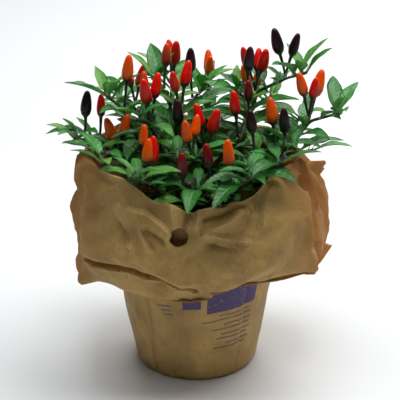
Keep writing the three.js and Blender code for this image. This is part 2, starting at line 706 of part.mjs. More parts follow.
function leafAt(stem, foot, bearing, high, long) {
  const share = Math.min(1, Math.max(0, (foot[2] - SHADE_TOP) / SUN_REACH));
  const base = {
    foot,
    rise: mix(18, 48, share) + high + 14 * (random() - 0.5),
    droop: mix(62, 34, share) + 16 * (random() - 0.5),
    long: long * (0.9 + 0.22 * random()),
    wide: 0,
    roll: 34 * (random() - 0.5),
    fold: 12 + 10 * random(),
  };
  for (let attempt = 0; attempt < TRIES; attempt++) {
    const swing = Math.ceil(attempt / 2) * SWING * (attempt % 2 ? 1 : -1);
    const leaf = { ...base, bearing: bearing + swing, long: base.long * (1 - 0.025 * attempt) };
    leaf.wide = leaf.long * LEAF_WIDTH;
    if (attempt > 5) leaf.rise += 16;
    const balls = leafBalls(leaf);
    if (isFree(balls, stem.owner) && !balls.some(meetsPaper)) {
      hold(balls, stem.owner);
      return leaf;
    }
  }
  return null;
}

const leaves = stems.map((stem) => {
  const grown = [];
  let walked = 0;
  let next = 6;
  let turn = stem.owner * 61;
  for (let i = 0; i + 1 < stem.line.length; i++) {
    const run = sub(stem.line[i + 1], stem.line[i]);
    const far = length(run);
    while (next < walked + far) {
      const foot = add(stem.line[i], run, (next - walked) / far);
      const nearEnd = Math.min(next - walked, walked + far - next);
      if (nearEnd > 3 || i === 0) grown.push(leafAt(stem, foot, turn, 0, LEAF_LENGTH));
      turn += GOLDEN;
      next += LEAF_STEP;
    }
    walked += far;
  }
  const tip = stem.line[stem.line.length - 1];
  const back = unit(sub(stem.line[stem.line.length - 2], tip));
  for (let k = 0; k < TIP_LEAVES; k++) {
    grown.push(leafAt(stem, add(tip, back, 0.8 + 2 * k), turn + GOLDEN * k, 12, TIP_LEAF_LENGTH + 2 * k));
  }
  return grown.filter(Boolean);
});
if (problems.length) throw new Error(problems.join("\n"));

// ---------------------------------------------------------------- the meshes
const plant = new THREE.Group();

let sleeve = sleeveSolid(46);
for (const { bearing, z, from, to } of [FRONT_HOLE, SIDE_HOLE]) {
  sleeve = sleeve.subtract(punch(bearing, z, from, to));
}
plant.add(meshOf("paper_sleeve", sleeve, kraftPaper));
plant.add(meshOf("nursery_pot", potSolid(), potPlastic));
plant.add(meshOf("potting_soil", soilSolid(), soil));
plant.add(meshOf("woody_stem", wood, bark));

stems.forEach((stem, i) => {
  const radii = stem.line.map((_, k) => mix(TWIG_R, TWIG_TIP_R, k / (stem.line.length - 1)));
  let solid = tube(stem.line, radii, 5);
  leaves[i].forEach((leaf) => {
    solid = solid.add(leafSolid(leaf));
  });
  plant.add(meshOf(`leafy_stem_${stem.name}`, solid, leafGreen));
});

const numbered = {};
bunches.forEach(({ colour, fruits, facing }) => {
  numbered[colour] = (numbered[colour] ?? 0) + 1;
  let solid = fruits.map(fruitSolid).reduce((a, b) => a.add(b));
  if (fruits.length > 1) {
    // The knuckle is an eight-sided bead with one flat side against the stem.
    const knuckle = new THREE.OctahedronGeometry(KNUCKLE_R, 0);
    const flat = new THREE.Vector3(1, 1, 1).normalize();
    const inwards = new THREE.Vector3(...facing).negate();
    knuckle.applyQuaternion(new THREE.Quaternion().setFromUnitVectors(flat, inwards));
    knuckle.translate(...fruits[0].foot);
    solid = solid.add(solidOf(knuckle));
  }
  plant.add(meshOf(`chilli_${colour}_${numbered[colour]}`, solid, chilliSkin[colour]));
});

export default plant;
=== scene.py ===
# %% [markdown]
# # A potted chilli pepper plant in a folded paper sleeve
# The real object is a young ornamental chilli in a plastic nursery pot. A kraft paper bag stands round
# the pot, and its top is folded outwards and down into a wide crumpled cuff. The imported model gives
# every piece's true size and place. This lesson dresses it: each rough solid gets a finer piece of the
# same form, grown by the same rules.

# %% Load the frame and keep its box
import math

import bpy
import numpy as np
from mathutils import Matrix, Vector


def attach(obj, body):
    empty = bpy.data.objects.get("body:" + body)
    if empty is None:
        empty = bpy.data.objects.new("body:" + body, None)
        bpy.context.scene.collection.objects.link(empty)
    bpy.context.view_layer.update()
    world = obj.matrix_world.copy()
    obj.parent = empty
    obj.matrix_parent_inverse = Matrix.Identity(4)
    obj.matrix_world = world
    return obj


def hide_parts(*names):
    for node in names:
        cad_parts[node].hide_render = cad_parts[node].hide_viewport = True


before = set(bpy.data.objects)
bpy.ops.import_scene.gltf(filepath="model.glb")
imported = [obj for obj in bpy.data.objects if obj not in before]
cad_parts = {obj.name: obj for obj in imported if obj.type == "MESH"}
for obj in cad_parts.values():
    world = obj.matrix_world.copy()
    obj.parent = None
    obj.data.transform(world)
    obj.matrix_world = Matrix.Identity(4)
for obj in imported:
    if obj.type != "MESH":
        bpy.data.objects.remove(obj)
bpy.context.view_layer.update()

print("nodes in the frame:", len(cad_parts))

# %% [markdown]
# ## Working units
# The plant's plan is in millimetres, as a grower would measure it, and Blender works in metres. Every
# piece is made in millimetres and scaled once, when its mesh is written.

# %% Small helpers
MM = 0.001
RAD = math.pi / 180


def mix(a, b, t):
    return a + (b - a) * t


def add(a, b, k=1):
    return (a[0] + b[0] * k, a[1] + b[1] * k, a[2] + b[2] * k)


def sub(a, b):
    return add(a, b, -1)


def length(a):
    return math.sqrt(a[0] * a[0] + a[1] * a[1] + a[2] * a[2])


def unit(a):
    return add((0, 0, 0), a, 1 / length(a))


def cross(a, b):
    return (a[1] * b[2] - a[2] * b[1], a[2] * b[0] - a[0] * b[2], a[0] * b[1] - a[1] * b[0])


def unit_rows(vectors):
    """Each vector of an array, made one unit long."""
    return vectors / np.maximum(np.linalg.norm(vectors, axis=-1, keepdims=True), 1e-9)


print("a line 3 across and 4 up is", length((3, 4, 0)), "long")

# %% [markdown]
# ## Camera
# A long lens stands a little above the plant and looks down at 24 degrees, so that the rim of the cuff,
# the pot and the tops of the leaves all show.

# %% Camera
LOOK_DOWN = 24 * RAD
CAMERA_AWAY = 1.1
FIELD_OF_VIEW = 16.23 * RAD

aim = Vector((0.003, 0, 0.135))
camera = bpy.data.objects.new("camera", bpy.data.cameras.new("camera"))
camera.data.sensor_width = 36
camera.data.lens = camera.data.sensor_width / 2 / math.tan(FIELD_OF_VIEW / 2)
camera.location = aim + CAMERA_AWAY * Vector((0, -math.cos(LOOK_DOWN), math.sin(LOOK_DOWN)))
camera.rotation_euler = (math.pi / 2 - LOOK_DOWN, 0, 0)
bpy.context.collection.objects.link(camera)
bpy.context.scene.camera = camera
print("lens:", round(camera.data.lens, 1), "mm")

# %% [markdown]
# ## Material recipes
# Materials here are short chains of nodes. A recipe holds the tree while it is built, so that each
# finish below reads as a list of what the real surface shows: its colour, its spots and fibres, its
# gloss and its grain.


# %% Recipe
def shade(red, green, blue):
    """A screen colour, 0 to 255 each, as the light values that a shader works in."""
    light = [((c / 255 + 0.055) / 1.055) ** 2.4 if c > 10 else c / 255 / 12.92 for c in (red, green, blue)]
    return (*light, 1)


class Recipe:
    """A material while it is built, with short names for the nodes that this plant needs."""

    def __init__(self, name):
        self.material = bpy.data.materials.new(name)
        self.material.use_nodes = True
        self.tree = self.material.node_tree
        self.surface = self.tree.nodes["Principled BSDF"]

    def node(self, kind, output=0, **inputs):
        """Adds a node. Its inputs are numbers, colours or other nodes' outputs."""
        made = self.tree.nodes.new("ShaderNode" + kind)
        for name, value in inputs.items():
            self.feed(made.inputs[name.replace("_", " ")], value)
        return made.outputs[output]

    def feed(self, socket, value):
        if isinstance(value, bpy.types.NodeSocket):
            self.tree.links.new(value, socket)
        else:
            socket.default_value = value

    def set(self, **inputs):
        for name, value in inputs.items():
            self.feed(self.surface.inputs[name.replace("_", " ")], value)

    def maths(self, operation, a, b=0.0):
        made = self.tree.nodes.new("ShaderNodeMath")
        made.operation = operation
        self.feed(made.inputs[0], a)
        self.feed(made.inputs[1], b)
        return made.outputs[0]

    def times(self, a, b):
        return self.maths("MULTIPLY", a, b)

    def plus(self, a, b):
        return self.maths("ADD", a, b)

    def paint(self, share, under, over):
        """Lays one colour over another by a share from 0 to 1."""
        made = self.tree.nodes.new("ShaderNodeMix")
        made.data_type = "RGBA"
        self.feed(made.inputs[0], share)
        self.feed(made.inputs[6], under)
        self.feed(made.inputs[7], over)
        return made.outputs[2]

    def ramp(self, share, stops):
        made = self.tree.nodes.new("ShaderNodeValToRGB")
        elements = made.color_ramp.elements
        while len(elements) < len(stops):
            elements.new(0.5)
        for element, (place, colour) in zip(elements, stops):
            element.position = place
            element.color = colour
        self.feed(made.inputs[0], share)
        return made.outputs[0]

    def roughen(self, share, *stops):
        """Sets the roughness from stops of (place, roughness): 0 is a mirror, 1 is chalk."""
        self.set(Roughness=self.ramp(share, [(place, (rough,) * 3 + (1,)) for place, rough in stops]))

    def between(self, value, low, high):
        """0 below low, 1 above high, and smooth in between."""
        made = self.tree.nodes.new("ShaderNodeMapRange")
        made.interpolation_type = "SMOOTHSTEP"
        self.feed(made.inputs["Value"], value)
        self.feed(made.inputs["From Min"], low)
        self.feed(made.inputs["From Max"], high)
        return made.outputs[0]

    def place(self, stretch):
        """Where a point lies on the object, in metres, stretched along each axis."""
        point = self.node("TexCoord", output=3)
        made = self.tree.nodes.new("ShaderNodeMapping")
        self.feed(made.inputs["Vector"], point)
        made.inputs["Scale"].default_value = stretch
        return made.outputs[0]

    def noise(self, size_mm, detail=3, stretch=(1, 1, 1), rough=0.5):
        """Cloudy noise whose blotches are about size_mm across."""
        return self.node(
            "TexNoise", Vector=self.place(stretch), Scale=1 / (size_mm * MM), Detail=detail,
            Roughness=rough)

    def mark(self, name):
        """A number stored on the mesh under this name."""
        made = self.tree.nodes.new("ShaderNodeAttribute")
        made.attribute_name = name
        return made.outputs["Fac"]

    def map_of(self, name):
        """The two numbers of a named UV map."""
        made = self.tree.nodes.new("ShaderNodeUVMap")
        made.uv_map = name
        split = self.tree.nodes.new("ShaderNodeSeparateXYZ")
        self.tree.links.new(made.outputs[0], split.inputs[0])
        return split.outputs[0], split.outputs[1]

    def relief(self, height, depth_mm, strength=1.0):
        bump = self.node("Bump", Height=height, Distance=depth_mm * MM, Strength=strength)
        self.set(Normal=bump)

    def glow_through(self, share, colour):
        """Lets some of the light behind the sheet through it, as paper and leaves do."""
        through = self.node("BsdfTranslucent", Color=colour)
        both = self.node("MixShader", Fac=share)
        self.tree.links.new(self.surface.outputs[0], both.node.inputs[1])
        self.tree.links.new(through, both.node.inputs[2])
        self.tree.links.new(both, self.tree.nodes["Material Output"].inputs["Surface"])
        return self.material


print("a middle grey as light:", round(shade(128, 128, 128)[0], 3))

# %% [markdown]
# ## Making pieces
# Each piece is a list of points and faces written straight into a mesh. Shapes could also be pulled
# into form by hand, but a plant has far too many leaves for that, and a written mesh comes out the same
# each time. Extra numbers on its points, such as how young a leaf is, let one material paint many
# leaves differently. Every piece then stands for its rough solid.


# %% Piece maker
MAIN = 0  # the number of a piece's main material
STALK = 1  # the number of its stalks' material


def make_piece(name, points, faces, materials, kinds=None, maps=None, marks=None):
    """A mesh object from points in millimetres. kinds gives each face's material by number."""
    mesh = bpy.data.meshes.new(name)
    mesh.from_pydata((np.asarray(points, dtype=float) * MM).tolist(), [], faces)
    for material in materials:
        mesh.materials.append(material)
    if kinds is not None:
        mesh.polygons.foreach_set("material_index", np.asarray(kinds, dtype=np.int32))
    mesh.polygons.foreach_set("use_smooth", np.full(len(mesh.polygons), True))
    corner_points = np.empty(len(mesh.loops), dtype=np.int32)
    mesh.loops.foreach_get("vertex_index", corner_points)
    for map_name, values in (maps or {}).items():
        layer = mesh.uv_layers.new(name=map_name)
        layer.uv.foreach_set("vector", np.asarray(values, dtype=np.float32)[corner_points].ravel())
    for mark_name, values in (marks or {}).items():
        layer = mesh.attributes.new(mark_name, "FLOAT", "POINT")
        layer.data.foreach_set("value", np.asarray(values, dtype=np.float32))
    mesh.validate()
    mesh.update()
    piece = bpy.data.objects.new(name, mesh)
    bpy.context.collection.objects.link(piece)
    return piece


def settle(piece, slot, *nodes):
    """The piece rides on the plant's one body and stands for the nodes it covers. Its slot is not used."""
    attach(piece, "root")
    if nodes:
        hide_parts(*nodes)


def grid_faces(rows, columns, closed=False, first=0):
    """Quads over a grid of points kept row by row; closed joins the last column to the first."""
    faces = []
    for i in range(rows - 1):
        for k in range(columns if closed else columns - 1):
            a = first + i * columns + k
            b = first + i * columns + (k + 1) % columns
            faces.append((a, b, b + columns, a + columns))
    return faces


def capped_faces(rings, sides):
    """Faces of a closed body whose points are one end, then rings of sides points, then the other end."""
    faces = grid_faces(rings, sides, closed=True, first=1)
    last = rings * sides + 1
    for k in range(sides):
        after = (k + 1) % sides
        faces.append((0, 1 + after, 1 + k))
        faces.append((last, last - sides + k, last - sides + after))
    return faces


class Bundle:
    """Collects many small shapes into one piece."""

    def __init__(self, map_name, mark_names=()):
        self.points = []
        self.faces = []
        self.kinds = []
        self.places = []
        self.map_name = map_name
        self.marks = {name: [] for name in mark_names}

    def add(self, points, faces, kind=MAIN, places=None, **marks):
        first = len(self.points)
        self.points.extend(np.asarray(points, dtype=float).reshape(-1, 3).tolist())
        self.faces.extend(tuple(first + i for i in face) for face in faces)
        self.kinds.extend([kind] * len(faces))
        count = len(self.points) - first
        places = [(0.0, 0.0)] * count if places is None else np.asarray(places).reshape(-1, 2).tolist()
        self.places.extend(places)
        for name, kept in self.marks.items():
            values = np.asarray(marks.get(name, 0.0), dtype=float).ravel()
            kept.extend(np.broadcast_to(values, count).tolist())

    def make(self, name, materials):
        maps = {self.map_name: self.places}
        return make_piece(name, self.points, self.faces, materials, self.kinds, maps, self.marks)


print("faces of a closed tube of 3 rings of 8 sides:", len(capped_faces(3, 8)))

# %% [markdown]
# ## Round shapes along a line
# Stems, stalks, fruits and buds are all rings of points threaded on a line. A curve with a round bevel
# could make a smooth stem, but not a ribbed one. So one helper threads the rings: it carries a frame
# along the line without twisting it, and closes both ends with a point.


# %% Threaded rings
def threaded(line, radii, sides, lobes=0, lobe_depth=0.0):
    """Points and faces of rings round a line, and (share along, share round) for each point."""
    line = np.asarray(line, dtype=float)
    ahead = unit_rows(np.gradient(line, axis=0))
    side = np.cross(ahead[0], (0, 0, 1) if abs(ahead[0][2]) < 0.9 else (1, 0, 0))
    turn = 2 * np.pi * np.arange(sides) / sides
    points, places = [line[0]], [(0.0, 0.0)]
    far = np.concatenate([[0], np.cumsum(np.linalg.norm(np.diff(line, axis=0), axis=1))])
    for i, centre in enumerate(line):
        side = side - ahead[i] * (side @ ahead[i])
        side = side / np.linalg.norm(side)
        other = np.cross(ahead[i], side)
        radius = radii[i] * (1 + lobe_depth * np.cos(lobes * turn))
        across, up = np.cos(turn) * radius, np.sin(turn) * radius
        points.extend(centre + across[:, None] * side + up[:, None] * other)
        places.extend((far[i] / far[-1], k / sides) for k in range(sides))
    points.append(line[-1])
    places.append((1.0, 0.0))
    return np.array(points), capped_faces(len(line), sides), np.array(places)


def add_rings(bundle, kind, line, radii, sides, lobes=0, lobe_depth=0.0):
    """Adds rings threaded on a line to a bundle, all in one of its materials."""
    points, faces, places = threaded(line, radii, sides, lobes, lobe_depth)
    bundle.add(points, faces, kind, places)


def rounded_path(path, cut=3.0, step=4.0):
    """A bent line with its corners rounded off, as points about a step apart."""
    path = [np.array(p, dtype=float) for p in path]
    line = [path[0]]
    for before, corner, after in zip(path, path[1:], path[2:]):
        back = before - corner
        on = after - corner
        back = back / np.linalg.norm(back) * min(cut, np.linalg.norm(back) / 3)
        on = on / np.linalg.norm(on) * min(cut, np.linalg.norm(on) / 3)
        for t in (0, 0.33, 0.67, 1):
            line.append(corner + back * (1 - t) ** 2 + on * t**2)
    line.append(path[-1])
    fine = [line[0]]
    for a, b in zip(line, line[1:]):
        count = max(1, math.ceil(np.linalg.norm(b - a) / step))
        fine.extend(a + (b - a) * k / count for k in range(1, count + 1))
    return np.array(fine)


print("points of a rounded elbow:", len(rounded_path([(0, 0, 0), (0, 0, 20), (20, 0, 20)])))

# %% [markdown]
# ## The sleeve's base form
# At each bearing round the pot, the paper runs along one line: from under the pot, up its wall, out to
# the mouth, over the rim and down the cuff to a hem that curls in slightly. A cloth simulation could
# fold a flat bag too, but it would choose where the folds fall, and here they are wanted in given
# places. The line below is the same one that the rough sleeve follows, with its plan outline given by
# three rounded boxes.

# %% Sleeve line
SHEET = 0.9
POT_TOP = 115
WALL_FOOT_R = 48.8
WALL_TOP_R = 66.2
WALL_TOP_Z = POT_TOP - 10
FOLD = 7  # the point at the top of the rim
HEM = 12  # the point at the bottom of the cuff
HEM_LIP = 1.2  # how far the hem curls in
HEM_RISE = 0.9  # how far it curls up
RIM_TOP = 179
SADDLE = 21  # how far the rim dips at the front
HEM_LEVEL = 91
HEM_SAG = 12.5  # how much lower the hem hangs at the front

MOUTH = dict(left=84, right=79, front=69, back=68, square=2.2)
BULGE = dict(left=90, right=103, front=82, back=80, square=2.6)
SKIRT = dict(left=91, right=100, front=70, back=72, square=2.5)


def outline(angle, left, right, front, back, square):
    """How far a rounded box reaches at a bearing. The larger its square number, the squarer it is."""
    x, y = math.cos(angle), math.sin(angle)
    a = abs(x / (right if x > 0 else left)) ** square
    b = abs(y / (back if y > 0 else front)) ** square
    return (a + b) ** (-1 / square)


def turn_from(angle, bearing):
    """How far an angle is from a bearing, either way round."""
    return abs(math.atan2(math.sin(angle - bearing), math.cos(angle - bearing)))


def bump(angle, bearing, width, power=2):
    """1 at a bearing and little beyond its width. A higher power makes it flatter on top."""
    return math.exp(-((turn_from(angle, bearing) / width) ** power))


def rim_height(angle):
    """The rim stands up all round but for a wide flat saddle at the front."""
    return RIM_TOP - SADDLE * bump(angle, -88 * RAD, 38 * RAD, 6)


def hem_height(angle):
    """The hem hangs lowest at the front and at its left corner."""
    front = HEM_SAG * bump(angle, -96 * RAD, 19 * RAD)
    return HEM_LEVEL - front + 3 * bump(angle, -142 * RAD, 12 * RAD) - 7 * bump(angle, -166 * RAD, 10 * RAD)


def ripple(angle, level):
    """A slow wave round the paper that shifts from one level to the next."""
    return 1.7 * math.sin(5 * angle + 0.6 * level) + 1.1 * math.sin(9 * angle + 1.7 * level)


def sheet_line(angle):
    """The sheet's line at one bearing, as (radius, height) from under the pot to the hem."""
    rim = rim_height(angle)
    hem = hem_height(angle)
    drop = rim - hem
    mouth = outline(angle, **MOUTH) + 0.35 * ripple(angle, 6)
    bulge = outline(angle, **BULGE)
    skirt = outline(angle, **SKIRT) + 0.8 * ripple(angle, 12)
    throat = WALL_TOP_R + 1.2
    return [
        (0, SHEET / 2),
        (47, SHEET / 2),
        (WALL_FOOT_R, 3),
        (WALL_TOP_R, WALL_TOP_Z),
        (throat, POT_TOP + 2),
        (mix(throat, mouth, 0.62), mix(POT_TOP + 2, rim, 0.5)),
        (mouth - 2.4, rim - 5),
        (mouth, rim - SHEET / 2),
        (mouth + 2.6, rim - 5),
        (mix(mouth + 3, bulge, 0.62) + ripple(angle, 9), rim - 0.33 * drop),
        (bulge + ripple(angle, 10), rim - 0.62 * drop),
        (mix(bulge, skirt, 0.5) + 1 + ripple(angle, 11), hem + 10),
        (skirt, hem),
        (skirt - HEM_LIP, hem + HEM_RISE),
    ]


print("rim at the front:", round(rim_height(-90 * RAD)), "mm, at the back:", round(rim_height(90 * RAD)))

# %% [markdown]
# ## A fine sheet along that line
# A few points give the line's form, and a smooth curve through them gives the paper's. Rows of points
# are spent where the paper shows: many on the cuff and the wall, few in the hidden pocket. Each point
# also knows how far along the sheet it lies and its row's share, which the creases below are placed by.

# %% Fine sheet
BEARINGS = 340
ROWS_IN_SPAN = [3, 2, 30, 4, 6, 7, 5, 6, 22, 22, 18, 8, 5]  # one number for each stretch of the line
CURVED_FROM = 3  # the floor and the wall are straight
FLOOR_HOLE = 0.04  # the share of the floor at its middle that one round face closes

bearings = -math.pi + 2 * math.pi * np.arange(BEARINGS) / BEARINGS
lines = np.array([sheet_line(angle) for angle in bearings])
spans = np.linalg.norm(np.diff(lines, axis=1), axis=2)[..., None]
slopes = np.diff(lines, axis=1) / spans
inner = (slopes[:, :-1] * spans[:, 1:] + slopes[:, 1:] * spans[:, :-1]) / (spans[:, :-1] + spans[:, 1:])
tangents = np.concatenate([slopes[:, :1], inner, slopes[:, -1:]], axis=1)

rows, shares = [], []
for i, count in enumerate(ROWS_IN_SPAN):
    start = FLOOR_HOLE if i == 0 else 0.0
    for u in start + (1 - start) * np.arange(count) / count:
        a, b = lines[:, i], lines[:, i + 1]
        if i < CURVED_FROM:
            rows.append(a + (b - a) * u)
        else:
            reach = spans[:, i]
            rows.append(
                (2 * u**3 - 3 * u**2 + 1) * a + (u**3 - 2 * u**2 + u) * reach * tangents[:, i]
                + (3 * u**2 - 2 * u**3) * b + (u**3 - u**2) * reach * tangents[:, i + 1])
        shares.append(i + u)
rows.append(lines[:, -1])
shares = np.array(shares + [len(ROWS_IN_SPAN)])
radius_and_height = np.stack(rows)  # row, bearing, (radius, height)
along_sheet = np.concatenate(
    [[0], np.cumsum(np.linalg.norm(np.diff(radius_and_height, axis=0), axis=2).mean(axis=1))])
print("sheet:", len(shares), "rows of", BEARINGS, "points,", round(along_sheet[-1]), "mm to the hem")

# %% [markdown]
# ## Crumples
# Crumpled paper is made of flat patches that meet at sharp creases. Ordinary cloudy noise would make it
# look like cloth. A lattice of random heights, joined by flat triangles, gives the flat patches. The
# lattice is bent by a slow wave first, so that its rows don't show, and several lattices of smaller and
# smaller cells are laid over each other.

# %% Crumples
LEVELS = 64  # rows of random heights before a lattice repeats
SKEW = 0.42  # how far the slow wave bends a lattice, in cells
# depth in millimetres, cells round the sleeve, length of a cell, seed
CRUMPLES = [(4.0, 16, 36, 5), (3.1, 30, 20, 6), (1.0, 60, 10, 7), (0.22, 130, 4.6, 8)]


def crumple(around, along, cells, cell, seed):
    """Heights from -1 to 1, flat over triangles. cells fit round the sleeve; cell is their length."""
    draw = np.random.RandomState(seed)
    heights = draw.uniform(-1, 1, (cells, LEVELS))
    leans = draw.rand(cells, LEVELS) > 0.5
    phase = draw.uniform(0, 6.28, 4)
    a = around * cells / (2 * np.pi)
    b = along / cell
    a = a + SKEW * (np.sin(3 * around + 0.9 * b + phase[0]) + np.sin(0.7 * b + phase[1]))
    b = b + SKEW * (np.sin(5 * around + phase[2]) + np.sin(8 * around + 0.8 * b + phase[3]))
    i, j = np.floor(a).astype(int), np.floor(b).astype(int)
    u, v = a - i, b - j

    def corner(di, dj):
        return heights[(i + di) % cells, (j + dj) % LEVELS]

    low_left, low_right, high_left, high_right = corner(0, 0), corner(1, 0), corner(0, 1), corner(1, 1)
    rising = np.where(
        u > v, low_left + u * (low_right - low_left) + v * (high_right - low_right),
        low_left + v * (high_left - low_left) + u * (high_right - high_left))
    falling = np.where(
        u + v < 1, low_left + u * (low_right - low_left) + v * (high_left - low_left),
        high_right + (1 - u) * (high_left - high_right) + (1 - v) * (low_right - high_right))
    return np.where(leans[i % cells, j % LEVELS], rising, falling)


around = np.broadcast_to(bearings, radius_and_height.shape[:2])
along = np.broadcast_to(along_sheet[:, None], around.shape)
creased = sum(depth * crumple(around, along, *lattice) for depth, *lattice in CRUMPLES)
print("crumples reach", round(float(np.abs(creased).max()), 1), "mm in or out")

# %% [markdown]
# ## Folds placed one by one
# The cuff's strongest folds are the ones that a hand made when it turned the bag down: a tall panel at
# each end, pinches at the front and a puffed lower edge. They could be sculpted with a brush, but
# written down they can be moved one by one. Each fold is a line of (bearing, height) places. It lifts
# or sinks the paper like a little roof that can be steep on one side and shallow on the other, as a
# real crease is. Points that lie close to a fold are drawn onto its line, so that its edge is clean,
# and the roofs are then all raised by one strength.

# %% Hand-made folds
REFERENCE_R = 88  # the radius at which widths are counted off round the cuff
WALL_R = 60  # and round the wall
FOLD_STRENGTH = 1.3
LOOSE_FOLDS = 26  # more of them on the sides and back, strewn by seeded chance
LOOSE_FROM, LOOSE_OVER = -14, 208  # the bearing of the first and the turn they are spread over, in degrees
ON_THE_LINE = 0.85  # points this close to a fold are drawn onto it
# line, width on its left side as it runs, width on its right side, lift
CUFF_FOLDS = [
    # the front panel's upright edge at the left end, and the hollow behind it
    ([(-170, 177), (-161, 156), (-156, 137), (-150, 118), (-146, 112)], 20, 3, 4.0),
    ([(-171, 165), (-164, 148), (-160, 130), (-154, 112)], 3, 8, -4.5),
    ([(-163, 174), (-153, 161), (-153, 146)], 8, 5, 1.8),
    # a soft dent, then two sharp ones beside the hole
    ([(-131, 146), (-126.5, 140), (-125, 133)], 4, 9, -2.8),
    ([(-117, 144), (-107.5, 135.5)], 3, 4, -3.4),
    ([(-117.5, 141), (-112.5, 129)], 4, 3, -2.4),
    ([(-130, 157.5), (-118.5, 152.5), (-109, 145), (-103, 140)], 3, 10, 3.0),
    # the puffed paper, and the slit between it and the band along the hem
    ([(-148, 124), (-135, 122), (-122, 120), (-112, 114), (-100, 105)], 14, 9, 2.6),
    ([(-148, 111), (-136, 110.5), (-122, 110), (-115, 104.5), (-109, 102), (-99, 94.5), (-91, 90)],
     4.5, 1.3, -4.4),
    # round the front hole: a valley up to the rim between two low ridges
    ([(-97, 147), (-95.5, 153), (-94, 160)], 4, 4, -3.2),
    ([(-102, 148), (-105, 159)], 6, 3, 2.4),
    ([(-90, 149), (-88, 160)], 3, 6, 2.4),
    # the pinch right of the hole, hollow under the rim
    ([(-85, 151), (-72, 153.5), (-60, 157)], 4, 3.5, -4.0),
    ([(-84, 142.5), (-76, 147), (-66, 151.5), (-60, 157)], 2.5, 7, 3.0),
    ([(-84, 141), (-74, 137), (-64, 134)], 4, 3, 2.2),
    ([(-80, 133), (-70, 128)], 3, 5, -2.0),
    # the long edge of the right panel, with its shaded hollow
    ([(-47, 170), (-49, 165), (-52.5, 154), (-55, 144), (-59, 137), (-67, 123.5), (-73.5, 115), (-77, 108)],
     20, 4.5, (5.5, 1.0)),
    ([(-60, 150), (-66, 138), (-74, 124), (-80, 114)], 4, 9, (-3.8, -1.0)),
    # the upright crease at the right end, and the paper folded on itself behind it
    ([(-29, 164), (-33, 152), (-34.8, 146), (-35, 132), (-36, 122), (-31, 107), (-27, 99)], 3, 14, 3.6),
    ([(-24, 170), (-26, 157), (-29, 140), (-31, 123), (-26, 108)], 5, 3, -3.8),
    ([(-17, 176), (-20, 160), (-22, 149)], 6, 2.5, 4.0),
    ([(-12, 166), (-10, 142), (-14, 116)], 7, 4, -3.6),
    ([(-4, 158), (-6, 134), (-2, 108)], 6, 9, 2.6),
    ([(4, 160), (9, 151)], 4, 4, 7.0),
]
# below this line the cuff slopes in towards its hem
HEM_TUCK = [(-80, 91), (-74, 95), (-64, 105.5), (-51.5, 107.5), (-35, 102.5), (-25.5, 100.5), (-20, 97)]
TUCK_SLOPE = 0.75
TUCK_REACH = 16
WALL_FOLDS = [
    # the edge of the bag's lap seam, on the left
    ([(-131, 0), (-130, 60), (-129, 120)], 1.4, 12, 2.4),
    ([(-143, 0), (-142, 120)], 4, 4, -1.4),
    ([(-52, 8), (-50, 60), (-53, 100)], 3, 6, 1.2),
    ([(-88, 84), (-70, 62), (-58, 55)], 3, 8, 1.1),
    ([(-112, 4), (-104, 40), (-108, 84)], 7, 3, 0.9),
    ([(-74, 3), (-78, 26)], 3, 5, 1.0),
    ([(140, 0), (141, 110)], 2, 6, -2.0),
    ([(30, 0), (32, 110)], 2, 6, -2.0),
    ([(88, 0), (90, 110)], 3, 3, 1.5),
]

heights = radius_and_height[..., 1]
pull = np.zeros(around.shape + (2,))  # how far each point is drawn round and up, in millimetres


def roof(line, left, right, lift, radius):
    """A roof over a line of (bearing, height) places: lift at the line, nothing beyond its widths.

    A pair of lifts is the lift at the line's start and at its end. Points on the line are noted in pull.
    """
    lift_start, lift_end = lift if isinstance(lift, tuple) else (lift, lift)
    reached = np.zeros(around.shape)
    nearest = np.full(around.shape, 1e9)
    away = np.zeros(around.shape + (2,))
    for i, ((a0, z0), (a1, z1)) in enumerate(zip(line, line[1:])):
        x = np.angle(np.exp(1j * (around - a0 * RAD))) * radius
        z = heights - z0
        x1 = np.angle(np.exp(1j * (a1 - a0) * RAD)) * radius
        run = x1 * x1 + (z1 - z0) ** 2
        t = np.clip((x * x1 + z * (z1 - z0)) / run, 0, 1)
        width = np.where(x1 * z - (z1 - z0) * x > 0, left, right)
        off = np.stack([x - t * x1, z - t * (z1 - z0)], axis=-1)
        share = np.hypot(off[..., 0], off[..., 1]) / width
        nearer = share < nearest
        away[nearer] = off[nearer]
        reached[nearer] = ((i + t) / (len(line) - 1))[nearer]
        nearest = np.minimum(nearest, share)
    close = np.hypot(away[..., 0], away[..., 1]) < ON_THE_LINE
    pull[close] = -away[close]
    return mix(lift_start, lift_end, reached) * np.where(close, 1, np.maximum(0, 1 - nearest))


draw = np.random.RandomState(31)
loose_folds = []
for k in range(LOOSE_FOLDS):
    bearing = LOOSE_FROM + LOOSE_OVER * (k + draw.rand()) / LOOSE_FOLDS
    top = 172 - 30 * draw.rand()
    bottom = top - 25 - 40 * draw.rand()
    lean = draw.uniform(-9, 9)
    line = [(bearing, top), (bearing + 0.4 * lean, (top + bottom) / 2), (bearing + lean, bottom)]
    loose_folds.append((line, 3 + 3 * draw.rand(), 5 + 6 * draw.rand(), draw.choice([-3.2, 3.0])))

cuff_relief = FOLD_STRENGTH * sum(roof(*fold, REFERENCE_R) for fold in CUFF_FOLDS + loose_folds)
wall_relief = sum(roof(*fold, WALL_R) for fold in WALL_FOLDS)
tuck_line = np.interp(bearings / RAD, *zip(*HEM_TUCK), left=0, right=0)
tuck = -TUCK_SLOPE * np.clip(tuck_line - heights, 0, TUCK_REACH)
print("folds placed by hand:", len(CUFF_FOLDS), "- loose folds:", len(loose_folds))
